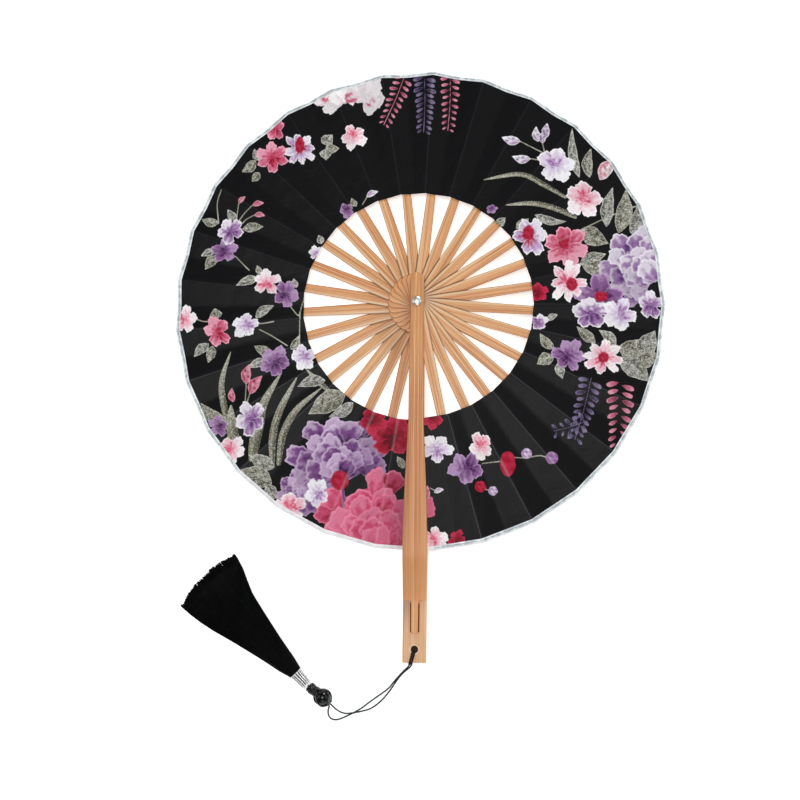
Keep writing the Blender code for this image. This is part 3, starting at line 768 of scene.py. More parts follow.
def frontRoof(distance):
    thickness = mix(guard["thickness"], guard["tongueThickness"],
                    smoothShare(distance, guard["crankFrom"], guard["crankTo"]))
    drop = max(guard["noseBevel"] - guard["nose"] - distance, 0.0) / guard["noseBevel"]
    return frontFloor(distance) + thickness - guard["noseDrop"] * drop


def rearFloor(distance):
    start, stop, rise = guard["relief"]
    return rise * min(max(distance - start, 0.0) / (stop - start), 1.0)


def strip(name, stations, floor, roof, finish):  # a bamboo strip with rounded long edges
    rings = []
    for distance, half in stations:
        low, high = floor(distance), roof(distance)
        r = min(guard["rounding"], 0.45 * half, 0.45 * (high - low))
        ring = []
        for across, up, start in ((half - r, high - r, 0), (r - half, high - r, 90),
                                  (r - half, low + r, 180), (half - r, low + r, 270)):
            for turn in np.radians(np.linspace(start, start + 90, 5)):
                ring.append((across + r * math.cos(turn), -distance, up + r * math.sin(turn)))
        rings.append(ring)
    return loft(name, rings, finish, guard["smoothAngle"])


def cutFrom(body, tools):
    target = addObject(body.name, body)
    tools = [addObject(tool.name, tool) for tool in tools]
    for tool in tools:
        cut = target.modifiers.new(tool.name, "BOOLEAN")
        cut.operation = "DIFFERENCE"
        cut.object = tool
        cut.solver = "EXACT"
    data = evaluatedMesh(target)
    target.modifiers.clear()
    target.data = data
    for tool in tools:
        bpy.data.objects.remove(tool)
    data.shade_smooth()
    data.set_sharp_from_angle(angle=math.radians(guard["smoothAngle"]))
    return target


def turnedMesh(name, profile, sides, finish, place=(0.0, 0.0), smoothAngle=40.0):
    # a turned piece from its half section, which starts and ends on the axis
    t = np.linspace(0.0, math.tau, sides, endpoint=False)
    points = [(*place, profile[0][1])]
    for radius, height in profile[1:-1]:
        points += [(place[0] + radius * math.cos(a), place[1] + radius * math.sin(a), height) for a in t]
    points.append((*place, profile[-1][1]))
    rings = len(profile) - 2
    top = 1 + (rings - 1) * sides
    faces = []
    for side in range(sides):
        after = (side + 1) % sides
        faces.append((0, 1 + after, 1 + side))
        for here in range(1, top, sides):
            faces.append((here + side, here + after, here + sides + after, here + sides + side))
        faces.append((top + side, top + after, len(points) - 1))
    return makeMesh(name, points, faces, finish, smoothAngle, turn=True)


def makeFrontGuard():
    tongue, shoulder = guard["tongueWidth"] / 2, guard["shoulder"]
    stations = guardStations(shoulder - 0.6)
    stations.append((shoulder, halfWidth(guard, shoulder)))
    fillet = guard["fillet"]
    stations += [(shoulder + fillet * (1 - math.cos(t)) + 0.04, tongue + fillet * (1 - math.sin(t)))
                 for t in np.radians(np.linspace(0.0, 90.0, 8))]
    stations += [(d, tongue) for d in np.linspace(shoulder + 3.2, guard["tongueTip"] - tongue, 7)]
    stations += [(guard["tongueTip"] - tongue + tongue * math.sin(t), tongue * math.cos(t))
                 for t in np.radians(np.linspace(12.0, 84.0, 9))]
    made = strip("front_guard_strip", stations, frontFloor, frontRoof, guardFinish)
    radius = guard["bore"]
    bore = turnedMesh("bore", [(0, 8.0), (radius, 8.0), (radius, 20.0), (0, 20.0)], 32, guardFinish)
    return cutFrom(made, [bore])


def makeRearGuard():
    start, stop, _ = guard["relief"]
    stations = guardStations(start - 0.5)
    stations += [(d, halfWidth(guard, d)) for d in (start, mix(start, stop, 0.5), stop, 166.0, 169.0)]
    r = guard["endCorner"]
    stations += [(guard["end"] - r + r * math.sin(t), halfWidth(guard, guard["end"]) - r + r * math.cos(t))
                 for t in np.radians(np.linspace(0.0, 80.0, 4))]
    made = strip("rear_guard_strip", stations, rearFloor, lambda distance: guard["thickness"], guardFinish)
    near, far, half = guard["slot"]
    low, high = -1.0, guard["thickness"] + 1.0
    corners = [[(x, -y, z) for x, y in ((-half, near), (half, near), (half, far), (-half, far))]
               for z in (low, high)]
    bore, (seat, depth), rim = guard["bore"], guard["capSeat"], guard["cordHole"]
    return cutFrom(made, [
        turnedMesh("rivet_seat", [
            (0, low), (seat, low), (seat, depth), (bore, depth), (bore, high), (0, high)],
            64, guardFinish),
        turnedMesh("cord_bore", [
            (0, low), (rim[0][0], low), *rim, (rim[-1][0], high), (0, high)],
            64, guardFinish, hole[:2]),
        loft("slot", corners, guardFinish),
    ])


frontGuard = makeFrontGuard()
rearGuard = makeRearGuard()

# The ribs: one flat blank, which a tree raises to its place in the stack and turns
rib = {
    "tail": 14.5,
    # distance from the rivet and half width
    "widths": [(-14.5, 3.0), (0.0, 3.0), (24.0, 2.7), (56.5, 2.15), (117.4, 1.4)],
    "bore": 1.5,
    "edge": 0.07,
    "blank": 0.40,
}


def makeRibBlank():
    tail, tip, end = halfWidth(rib, 0.0), halfWidth(rib, fold["tip"]), fold["tip"]
    marks = (tail - rib["tail"], 0.0, fold["boss"], 24.0, 40.0, 56.5, 87.0, end - tip)
    side = [(halfWidth(rib, d), d) for d in marks]
    roundTip = [(tip * math.cos(t), end - tip + tip * math.sin(t))
                for t in np.radians(np.arange(10.0, 171.0, 10.0))]
    roundTail = [(-tail * math.cos(t), tail - rib["tail"] - tail * math.sin(t))
                 for t in np.radians(np.arange(8.0, 173.0, 8.0))]
    outline = side + roundTip + [(-x, d) for x, d in reversed(side)] + roundTail
    bore = [(rib["bore"] * math.cos(t), rib["bore"] * math.sin(t))
            for t in np.linspace(0.0, math.tau, 24, endpoint=False)]
    loops = [[(x, -d, 0.0) for x, d in loop] for loop in (outline, bore)]
    drawn = pathObject("rib_outline", loops, closed=True)
    data = drawn.data
    data.dimensions, data.fill_mode = "2D", "BOTH"
    data.bevel_depth, data.bevel_resolution = rib["edge"] * mm, 1
    data.extrude, data.offset = (rib["blank"] / 2 - rib["edge"]) * mm, -rib["edge"] * mm
    flat = evaluatedMesh(drawn)
    bpy.data.objects.remove(drawn)
    body = bmesh.new()
    body.from_mesh(flat)
    bmesh.ops.remove_doubles(body, verts=body.verts, dist=0.000002)
    bmesh.ops.recalc_face_normals(body, faces=body.faces)
    for corner in body.verts:  # height becomes a share of the rib's thickness
        corner.co.z = corner.co.z / (rib["blank"] * mm) + 0.5
    body.to_mesh(flat)
    body.free()
    flat.materials.clear()
    return addObject("rib_blank", flat)


stackSizes = {key: fold[key] * mm for key in ("base", "gap", "pitchPivot", "pitchTip", "boss", "tip")}
ribTree = Shaper("ribInStack", number=1.0, step=fold["step"], **stackSizes, finish=None)
here = ribTree.node("GeometryNodeInputPosition")
hereX, hereY, hereZ = [ribTree.part(here, axis) for axis in range(3)]
number = ribTree.given("number")
marked = ribTree.given("Geometry")
for label, place in (
        ("grain", (hereX * 1000.0 + number * 17.3, hereY * 1000.0 + number * 61.7, hereZ + number * 5.1)),
        ("own", (hereX * 1000.0, hereY * 1000.0, number))):
    marked = ribTree.node(
        "GeometryNodeStoreNamedAttribute", {"data_type": "FLOAT_VECTOR", "domain": "POINT"},
        {"Geometry": marked, "Name": label, "Value": ribTree.joined(*place)})
ribPitch = ribTree.node("ShaderNodeMapRange", None, {
    "Value": hereY * -1.0, "From Min": ribTree.given("boss"), "From Max": ribTree.given("tip"),
    "To Min": ribTree.given("pitchPivot"), "To Max": ribTree.given("pitchTip")})
height = ribTree.given("base") + (number - 1.0 + hereZ) * ribPitch - hereZ * ribTree.given("gap")
lifted = ribTree.node("GeometryNodeSetPosition", None, {
    0: marked, "Position": ribTree.joined(hereX, hereY, height)})
ribTree.end(ribTree.node("GeometryNodeTransform", None, {
    0: lifted, "Rotation": ribTree.joined(0.0, 0.0, number * ribTree.given("step") * -1.0)}))

ribBlank = makeRibBlank()
ribPieces = []
for ribNumber in range(1, fold["ribs"] + 1):
    data = ribTree.shape(ribBlank, f"rib_strip_{ribNumber:02d}", number=float(ribNumber),
                         step=fold["step"], **stackSizes, finish=ribFinish.material)
    data.set_sharp_from_angle(angle=math.radians(30.0))
    ribPieces.append(addObject(data.name, data))
bpy.data.objects.remove(ribBlank)
print("bamboo made")


# The leaf's print: a common spray of garden flowers, drawn by rule as petals, leaves and stems
palettes = {  # screen colours of a petal's heart, middle and rim
    "snow": ((164, 118, 176), (226, 212, 234), (250, 250, 252)),
    "blush": ((222, 84, 120), (244, 196, 210), (252, 248, 250)),
    "iris": ((176, 16, 56), (196, 166, 208), (244, 240, 248)),
    "lilac": ((104, 52, 122), (164, 124, 176), (246, 240, 250)),
    "violet": ((72, 28, 84), (136, 92, 144), (186, 152, 194)),
    "rose": ((170, 14, 54), (208, 92, 124), (240, 172, 192)),
    "crimson": ((96, 4, 24), (160, 14, 44), (196, 46, 80)),
    "plum": ((66, 24, 76), (124, 74, 136), (204, 180, 210)),
    "mist": ((100, 56, 122), (156, 120, 170), (232, 226, 236)),
    "shell": ((212, 96, 130), (250, 238, 244), (255, 255, 255)),
    "peach": ((158, 14, 50), (206, 74, 112), (226, 128, 158)),
    "dusk": ((40, 34, 58), (84, 72, 108), (138, 124, 158)),
    "clover": ((132, 40, 70), (192, 98, 126), (226, 154, 174)),
    "sage": ((88, 88, 75), (142, 141, 130), (210, 210, 202)),
    "reed": ((81, 79, 60), (132, 131, 109), (200, 199, 184)),
}
palettes = {name: np.array([tone(*colour) for colour in colours]) for name, colours in palettes.items()}


class Print:
    # the colour at each point of the cloth, and how far it is from the nearest painted edge
    def __init__(self, places):
        self.at = places
        self.edge = np.full(len(places), 4.0)
        self.colour = np.zeros((len(places), 3))
        self.mottle = np.zeros(len(places))

    def near(self, centre, reach):
        found = np.flatnonzero(((self.at - np.array(centre)) ** 2).sum(1) < reach ** 2)
        return found, self.at[found] - np.array(centre)

    def lay(self, found, distance, colour, mottle=0.0):
        old = self.edge[found]
        share = np.where(old < 0.0, np.clip(0.5 - distance / 0.30, 0.0, 1.0),
                         ((distance < old) & (distance < 0.9)) * 1.0)
        self.colour[found] += (colour - self.colour[found]) * share[:, None]
        self.mottle[found] += (mottle - self.mottle[found]) * share
        self.edge[found] = np.minimum(old, distance)

    def petal(self, centre, turn, start, length, width, palette, shade=1.0, ruffle=0.05, seed=0,
              lean=(0.0, 1.0), rimmed=1.0):
        found, away = self.near(centre, start + length + 2.0)
        if not len(found):
            return
        flat, factor = np.array([math.cos(lean[0]), math.sin(lean[0])]), lean[1]
        away = away + np.multiply.outer((away @ flat) * (1.0 / factor - 1.0), flat)  # a flower seen aslant
        x = away @ np.array([math.cos(turn), math.sin(turn)]) - start
        y = away @ np.array([-math.sin(turn), math.cos(turn)])
        u = np.clip(x / length, 0.0, 1.0)
        swell = 0.42 + 1.15 * u - 0.45 * u * u
        a, b = (x - length / 2) / (length / 2), y / (width / 2 * swell)
        around = np.arctan2(b, a)
        rough = ruffle * (np.sin(5.0 * around + seed) + 0.7 * np.sin(9.0 * around - seed)
                          + 0.4 * np.sin(15.0 * around + 2 * seed))
        q = np.hypot(a, b) * (1.0 + rough)
        distance = (q - 1.0) * min(length, width) * 0.42
        heart, middle, rim = palettes[palette]
        wash = ripple(x, y, 0.55 * width + 0.6, seed + 3) + 0.7 * ripple(x, y, 0.22 * width + 0.5, seed + 19)
        vein = 0.12 * np.sin(15.0 * y / width + 3.0 * np.sin(2.3 * x / length + seed))
        lift = 0.30 * math.sin(2.4 * seed)  # some petals are paler than others
        soft = np.clip(u + lift + vein + 0.15 * wash, 0.0, 1.0)
        tint = mix(heart, middle, smoothShare(soft, 0.02, 0.42)[:, None])
        tint = mix(tint, rim, (smoothShare(soft, 0.50, 0.92) * (0.25 + 0.60 * rimmed))[:, None])
        pale = smoothShare(q, 0.80, 0.94) * (0.25 + 0.75 * u)
        tint = mix(tint, np.minimum(rim * 1.15, 1.0), (rimmed * pale)[:, None])
        self.lay(found, distance, tint * shade, 0.24)

    def blossom(self, x, y, size, palette, petals=5, seed=0, core=None):
        chance = np.random.default_rng(seed + 100)
        turn = chance.uniform(0.0, math.tau)
        lean = (chance.uniform(0.0, math.pi), chance.uniform(0.80, 0.98))
        self.dot(x, y, 0.42 * size, palette, 1)
        for number in range(petals):
            place = number * 2 % petals + (number * 2 // petals if petals % 2 == 0 else 0)
            way = turn + math.tau * place / petals
            reach, broad = size * chance.uniform(0.94, 1.16), size * chance.uniform(0.74, 0.92)
            self.petal((x, y), way + chance.uniform(-0.12, 0.12), -0.04 * size, reach, broad * 5.0 / petals,
                       palette, chance.uniform(0.88, 1.0), 0.065, seed + number, lean)
        self.dot(x, y, 0.13 * size, core or palette)
        for number in range(6):
            way, out = math.tau * number / 6 + chance.uniform(-0.4, 0.4), size * chance.uniform(0.2, 0.36)
            self.dot(x + out * math.cos(way), y + out * math.sin(way), 0.035 * size + 0.08, core or palette)

    def dot(self, x, y, size, palette, part=0, stretch=1.0):
        found, away = self.near((x, y), size * stretch + 1.2)
        rough = 1.0 + 0.03 * np.sin(5.0 * np.arctan2(away[:, 1], away[:, 0]) + x)
        distance = np.hypot(away[:, 0] * stretch, away[:, 1]) * rough - size
        patchy = np.clip(0.3 + 0.6 * ripple(away[:, 0], away[:, 1], 0.9 * size + 0.4, 7), 0.0, 1.0)
        colours = palettes[palette]
        tint = mix(colours[part], colours[min(part + 1, 2)], patchy[:, None])
        self.lay(found, distance, tint, 0.3)

    def peony(self, x, y, size, palette, turn=0.0, seed=0):  # rows of petals that fan out from one side
        chance = np.random.default_rng(seed + 40)
        root = np.array([x, y]) - 0.5 * size * np.array([math.cos(turn), math.sin(turn)])
        self.dot(x, y, 0.55 * size, palette, 1)
        rows = ((9, 2.1, 1.36), (8, 1.8, 1.14), (6, 1.5, 0.90), (5, 1.2, 0.68), (3, 0.9, 0.44))
        for number, (petals, spread, reach) in enumerate(rows):
            for place in chance.permutation(petals):
                side = 2.0 * place / (petals - 1) - 1.0
                way = turn + spread * side + chance.uniform(-0.15, 0.15)
                length, width = size * chance.uniform(0.44, 0.70), size * chance.uniform(0.40, 0.60)
                far = size * reach * chance.uniform(0.88, 1.08) * (1.0 - 0.26 * side * side)
                lit = math.cos(way - 2.2)
                self.petal(root, way, far - length, length, width, palette,
                           (0.88 + 0.12 * lit) * chance.uniform(0.84, 1.04), 0.06, seed + 7 * number + place,
                           rimmed=0.35 + 0.65 * max(lit, 0.0))

    def leaf(self, x, y, turn, length, width, palette="sage", seed=0, mottle=0.85):
        found, away = self.near((x, y), length + 2.0)
        if not len(found):
            return
        a = away @ np.array([math.cos(turn), math.sin(turn)])
        b = away @ np.array([-math.sin(turn), math.cos(turn)])
        b = b - 0.10 * length * np.sin(math.pi * np.clip(a / length, 0, 1)) * math.sin(seed + 1.0)
        u = np.clip(a / length, 0.0, 1.0)
        half = width / 2 * np.sin(math.pi * u ** 0.78) ** 1.05 * (1.0 + 0.10 * np.abs(np.sin(9.0 * u + seed)))
        distance = np.maximum(np.abs(b) - half, (np.abs(a / length - 0.5) - 0.5) * length) * 0.8
        heart, middle, rim = palettes[palette]
        side = smoothShare(0.5 * b / (width / 2 + 0.01) + 0.6 * ripple(a, b, 4.0, seed), -0.5, 0.6)
        tint = mix(rim * 0.8, heart, side[:, None])
        tint = mix(tint, middle, 0.30) * (0.80 + 0.42 * ripple(a, b, 2.6, seed + 5))[:, None]
        rib = np.maximum(1.0 - np.abs(b) / 0.26, 0.0) * 0.8
        ribs = np.maximum(1.0 - np.abs((a * 0.9 - np.abs(b) * 0.9) % 2.4 - 1.2) / 0.26, 0.0) * 0.35
        ribs = ribs + smoothShare(distance, -0.42, -0.12) * 0.8
        tint = mix(tint, rim, np.clip(rib + ribs, 0.0, 1.0)[:, None])
        self.lay(found, distance, np.clip(tint, 0.0, 1.0), mottle)

    def blade(self, points, width, palette="reed", mottle=0.8):  # a long bent leaf or a stem
        route = smoothRoute([(x, y, 0.0) for x, y in points], 0.8)[:, :2]
        middle = route.mean(0)
        found, away = self.near(middle, np.hypot(*(route - middle).T).max() + width + 2.0)
        places = self.at[found]
        best = np.full(len(found), 99.0)
        share, side = np.zeros(len(found)), np.zeros(len(found))
        for number, (a, b) in enumerate(zip(route, route[1:])):
            way = (b - a) / np.hypot(*(b - a))
            t = np.clip((places - a) @ way, 0.0, np.hypot(*(b - a)))
            gap = places - a - np.multiply.outer(t, way)
            distance = np.hypot(gap[:, 0], gap[:, 1])
            closer = distance < best
            best[closer] = distance[closer]
            share[closer] = (number + t[closer]) / len(route)
            side[closer] = (gap @ np.array([-way[1], way[0]]))[closer]
        half = width / 2 * (1.0 if width < 0.9 else np.sin(math.pi * (0.12 + 0.88 * share) ** 0.9) ** 0.7)
        heart, body, rim = palettes[palette]
        tint = mix(heart, body, smoothShare(side / (width + 0.01), -0.4, 0.3)[:, None])
        streaks = ripple(14.0 * share * len(route) / 20.0, 9.0 * side, 6.0, 5) * min(width, 1.0)
        towardsTip = smoothShare(share, 0.35, 0.95) * 0.55
        tint = mix(tint * (1.0 + 0.34 * streaks[:, None]), rim, towardsTip[:, None])
        tint = mix(tint, rim, (np.maximum(1.0 - np.abs(side - 0.1 * width) / 0.3, 0.0) * 0.7)[:, None])
        self.lay(found, best - half, tint, mottle)

    def bud(self, x, y, turn, size, palette):
        self.leaf(x, y, turn, size, 0.46 * size, palette, 0, 0.3)

    def wisteria(self, start, end, size, palette, pairs=10, stalk=True):
        start, end = np.array(start), np.array(end)
        way = (end - start) / np.hypot(*(end - start))
        aside = np.array([-way[1], way[0]])
        if stalk:
            self.blade([start, mix(start, end, 0.5) + aside * 0.5, end], 0.35, palette, 0.0)
        turn = math.atan2(way[1], way[0])
        for number in range(pairs):
            share = (number + 0.5) / pairs
            reach = 1.12 * size * (1.0 - 0.4 * share) * (1.0 + 0.12 * math.sin(3.7 * number))
            for hand in (-1.0, 1.0):
                root = mix(start, end, share + 0.02 * hand)
                root = root + aside * (hand * 0.5 + 0.5 * math.sin(math.pi * share))
                self.petal(root, turn + hand * (1.30 - 0.4 * share), 0.3, reach, 0.44 * reach, palette,
                           0.92, 0.03, number)


# Each motif by its place from the rivet: across, up, size and turn
flowers = [
    ("crimson", 5, -11, -64, 12), ("crimson", 5, -21, -57, 7), ("crimson", 5, 8, -57, 5),
    ("rose", 5, -99, -13, 7.6), ("snow", 5, -85, -10, 7), ("blush", 5, -115, -7, 7),
    ("violet", 5, -65, 6, 7.4), ("blush", 5, -75, 12, 6.8), ("violet", 5, -96, 28, 7),
    ("lilac", 5, -94, 38, 6.8), ("rose", 6, -74, 76, 8.4), ("iris", 8, -60, 80, 8.6),
    ("blush", 5, -33, 86, 6.8), ("rose", 5, -73, 91, 6), ("violet", 5, -36, 48, 4),
    ("snow", 5, -51, 27, 3.6), ("violet", 5, -70, -28, 7.6), ("snow", 5, -56, -26, 6.8),
    ("lilac", 5, -81, -56, 8.4), ("blush", 5, -90, -71, 7.2), ("violet", 5, -97, -60, 5.4),
    ("snow", 5, 68, 71, 9.4), ("blush", 5, 81, 53, 10.2), ("iris", 6, 55, 34, 10),
    ("rose", 6, 72, 29, 11.2), ("violet", 5, 88, 3, 13.4), ("blush", 8, 73, 11, 10.4),
    ("crimson", 5, 59, 6, 5), ("lilac", 5, 84, -4, 9.2), ("snow", 5, 98, -5, 8), ("lilac", 5, 113, 0, 7),
    ("lilac", 5, 59, -9, 4.6), ("violet", 6, 73, -25, 8), ("blush", 8, 90, -26, 9.4),
    ("snow", 5, 10, -71, 7.8), ("violet", 5, 24, -80, 8.2), ("blush", 5, 31, -70, 7),
    ("blush", 5, 10, -114, 6.4), ("crimson", 5, 20, -114, 4.4), ("violet", 5, 36, 48, 3),
    ("blush", 5, -61, -100, 9), ("snow", 5, -48, -92, 7.6),
]
peonies = [
    ("shell", -35, 115, 16, 1.6, 3), ("mist", 107, 22, 19, 2.4, 8), ("plum", -58, -90, 11, 2.6, 14),
    ("plum", -41, -73, 22, 2.2, 21), ("peach", -21, -103, 25, 1.7, 33),
]
leaves = [
    (-82, 74, -2.5, 9, 5), (-80, 74, 2.0, 7, 3.5), (-80, 68, -2.3, 6, 4), (-49, 83, 0.7, 7, 6),
    (-47, 81, -0.1, 7, 4.5), (-47, 80, -1.5, 6, 5.5), (-100, 42, 2.9, 9, 4.5), (-91, 44, 2.3, 7, 4),
    (-88, 39, 0.1, 11, 4.5), (-101, 28, -2.8, 8, 3.5), (-100, 25, -2.3, 9, 5), (-79, 14, -2.8, 12, 4.5),
    (-78, 16, 2.0, 5, 3), (-60, 9, 1.9, 5, 3.5), (-31, 50, 2.1, 5, 3), (-48, 31, 1.9, 5, 3.5),
    (-100, -7, 1.7, 6, 5.5), (-103, -19, -2.4, 10, 4.5), (-101, -20, -1.8, 9, 4.5),
    (-80, -6, 0.6, 11, 4.5), (-72, -23, 2.8, 9, 4.5), (-75, -27, -2.7, 9, 4), (-62, -22, 1.1, 8, 4),
    (-45, -37, -2.9, 14, 5.5), (-35, -43, -2.6, 21, 10), (-31, -48, -2.6, 14, 5.5),
    (-92, -59, 2.5, 18, 6), (-69, -80, 2.7, 14, 7), (-70, -88, 2.8, 18, 9), (-73, -89, -0.7, 9, 6.5),
    (-6, -80, 2.1, 7, 3.5), (79, 64, 1.7, 26, 4.5), (84, 64, 1.5, 16, 5), (92, 39, 1.4, 21, 6),
    (98, 36, 1.4, 23, 7.5), (104, 36, 1.3, 18, 6.5), (80, 38, -0.5, 15, 8.5), (79, 20, 0.4, 14, 6.5),
    (80, 20, -0.5, 18, 8), (39, 39, 0.9, 6, 4), (48, 38, 0.7, 8, 4.5), (57, 45, -0.2, 16, 4),
    (66, -26, -2.7, 9, 6), (68, -29, -1.3, 8, 4.5), (66, -22, 2.3, 10, 4.5), (63, -8, 0.5, 6, 3),
    (86, -19, 2.4, 12, 5), (96, -20, 2.4, 11, 5), (97, -22, 0.4, 14, 6), (107, -25, 1.0, 15, 9),
    (98, -23, -0.3, 12, 7), (98, -28, -0.6, 17, 9), (107, -30, 0.6, 11, 7),
]
blades = [
    ([(-90, -67), (-94, -52), (-96, -39), (-92, -23)], 3.2),
    ([(-79, -75), (-77, -61), (-75, -49), (-67, -34)], 4.4),
    ([(-70, -78), (-70, -65), (-67, -52), (-59, -36)], 3.8),
    ([(-67, -78), (-65, -64), (-59, -52), (-47, -41)], 3.6), ([(-88, -74), (-90, -62), (-91, -50)], 5.5),
    ([(-80, -76), (-79, -66), (-78, -56)], 5), ([(-42, -43), (-48, -38), (-54, -32)], 2.6),
    ([(72, 54), (61, 61), (49, 66), (32, 63)], 2.6), ([(77, 44), (68, 48), (56, 51), (43, 50)], 2.8),
]
stems = [
    [(-99, 59), (-101, 52), (-100, 42)], [(-90, 52), (-91, 45), (-91, 44)],
    [(-83, 51), (-87, 47), (-90, 43)], [(-82, 46), (-86, 44), (-88, 42)],
    [(-91, 25), (-88, 22), (-84, 18)], [(-109, -7), (-106, -8), (-103, -8)],
    [(-80, -9), (-76, -9), (-71, -8)], [(-78, -12), (-72, -15), (-64, -20)],
    [(-64, 1), (-59, -5), (-58, -3)], [(-56, 4), (-58, -4), (-58, -21)],
    [(-84, -39), (-84, -45), (-84, -52)], [(-82, -44), (-83, -48)], [(-28, 51), (-25, 56)],
    [(50, 83), (56, 80), (61, 77)], [(55, 74), (60, 73)], [(61, 82), (62, 77)], [(32, -78), (40, -77)],
    [(46, -75), (53, -75), (59, -74), (63, -75)], [(7, -90), (11, -92)], [(31, -90), (37, -91)],
    [(79, 37), (93, 44), (108, 50)],
]
buds = [
    (-90, 52, 0.8, 5, "rose"), (-83, 51, 0.2, 6, "rose"), (-82, 46, -0.1, 5.6, "rose"),
    (-84, -39, 1.4, 10, "rose"), (-82, -44, 1.0, 11, "rose"), (-90, -48, 1.7, 7.3, "rose"),
    (-26, 55, 0.4, 6.4, "snow"), (50, 83, 2.9, 9.7, "snow"), (55, 74, 3.0, 9.3, "snow"),
    (59, 83, 1.7, 8.2, "snow"), (61, 82, 1.4, 7.3, "lilac"), (63, 85, 1.5, 8, "lilac"),
    (89, 63, 0.9, 14, "blush"), (9, -92, 0.3, 5, "snow"), (6, -95, 1.6, 6.4, "rose"),
]
berries = [  # across, up, half height, palette, and height over width
    (44, -78, 6.1, "crimson", 1.65), (31, -89, 2.7, "crimson", 1.0), (53, -73, 2.5, "lilac", 1.0),
    (65, -75, 3.0, "violet", 1.0), (37, -91, 2.2, "lilac", 1.0), (-37, -86, 4.8, "crimson", 1.1),
    (89, 4, 2.6, "crimson", 0.75), (90, -26, 2.6, "crimson", 1.0), (75, 10, 3.2, "crimson", 1.15),
    (71, 31, 2.9, "crimson", 1.2), (-60, 82, 4.2, "crimson", 1.8), (54, 36, 3.6, "crimson", 1.3),
]
sprays = [  # start, end, petal length, palette, pairs of petals, and whether the stalk shows
    ((-8, 118), (-18, 92), 4.0, "clover", 9, True), ((2, 118), (2, 88), 4.6, "dusk", 11, True),
    ((15, 118), (14, 89), 3.9, "clover", 9, True), ((84, -36), (76, -66), 4.8, "dusk", 10, True),
    ((82, -57), (66, -62), 4.0, "dusk", 5, True), ((98, -37), (96, -70), 5.6, "clover", 9, False),
]


def paintLeaf(places):
    cloth = Print(places)
    for points, width in blades:
        cloth.blade(points, width)
    for points in stems:
        cloth.blade(points, 0.6, "reed", 0.0)
    for number, (x, y, turn, length, width) in enumerate(leaves):
        cloth.leaf(x, y, turn, length, width, "sage" if number % 2 else "reed", number)
    for start, end, size, palette, pairs, stalk in sprays:
        cloth.wisteria(start, end, size, palette, pairs, stalk)
    for palette, x, y, size, turn, seed in peonies:
        cloth.peony(x, y, size, palette, turn, seed)
    for number, (palette, petals, x, y, size) in enumerate(flowers):
        cloth.blossom(x, y, size, palette, petals, number)
    for x, y, turn, size, palette in buds:
        cloth.bud(x, y, turn, size, palette)
    for x, y, size, palette, stretch in berries:
        cloth.dot(x, y, size, palette, 1, stretch)
    return cloth


# The leaf: one panel of satin between each two ribs, with a ridge and a valley
leaf = {
    "radius": 120.0,
    "window": 56.5,
    "hemFold": 0.35,
    "thickness": 0.25,
    "seat": 0.20,
    "margin": 0.70,
    "foldShare": 0.25,
    "foldAtWindow": 0.28,
    "foldAtRim": 1.00,
    "clearRib": 0.25,   # share of the relief by which the folds stand clear of the ribs
    "quarter": 14,      # columns across a quarter of a panel
    "rows": 136,
    "coarse": 4,        # one underside line to so many lines of the top
    "blendHalf": 4.6,
}


def leafLine(place, side, rise, radius, lift):  # the line of the leaf at a place among the ribs
    across = side * (halfWidth(guard, radius) - leaf["margin"])
    turn = place * fold["step"] + np.arcsin(across / radius)
    share = (radius - leaf["window"]) / (leaf["radius"] - leaf["window"])
    relief = mix(leaf["foldAtWindow"], leaf["foldAtRim"], share)
    up = level(min(place, fold["ribs"]), radius) + (rise + leaf["clearRib"] * abs(rise)) * relief
    reach = radius * (math.cos(fold["step"] / 2) if rise < 0.0 else 1.0)
    return np.stack([-reach * np.sin(turn), -reach * np.cos(turn),
                     np.maximum(up, fold["base"]) + leaf["seat"] + lift], -1)


def panelAnchors(panel):  # the lines that a panel runs through, with the columns between them
    last = fold["panels"] - 1

    def valley(k):
        return (k + leaf["foldShare"], 0.0, -1.0 if k < last else -0.5)

    def ridge(k):
        return (k + 1.0 - leaf["foldShare"], 0.0, 1.0 if k < last else 0.0)

    quarter = leaf["quarter"]
    lines = [((ridge(panel - 1), valley(panel)) if panel else ((0.0, 0.0, 0.0),)),
             (valley(panel),), (ridge(panel),),
             ((ridge(panel), valley(panel + 1)) if panel < last else ((panel + 1.0, 0.0, 0.0),))]
    counts = [quarter, 2 * quarter, quarter]
    if not panel:
        lines, counts = [((0.0, -1.0, 0.0),)] + lines, [4] + counts
    if panel == last:
        lines, counts = lines + [((panel + 1.0, 1.0, 0.0),)], counts + [4]
    return lines, counts


def clothGrid(panel, radii, lifts):  # points by column and by row, for rows of radius and lift
    lines, counts = panelAnchors(panel)
    ends = [np.mean([leafLine(*line, radii, lifts) for line in group], 0) for group in lines]
    columns = [mix(start, end, piece / count) for start, end, count in zip(ends, ends[1:], counts)
               for piece in range(count)]
    grid = np.array(columns + [ends[-1]])
    for number in range(1, len(ends) - 1):  # round the creases a little
        here = sum(counts[:number])
        before, height, after = [line[-1, 2] for line in ends[number - 1:number + 2]]
        sign = -1.0 if height > 0.5 * (before + after) else 1.0
        away = np.hypot(*np.moveaxis(grid[:, :, :2] - grid[here][None, :, :2], -1, 0))
        grid[:, :, 2] += sign * 0.10 * np.exp(-away / 0.45)
    return grid


def creaseWaver(grid):
    x, y = grid[..., 0], grid[..., 1]
    return 0.05 * ripple(x, y, 11.0, 5) + 0.025 * ripple(x, y, 4.0, 9)


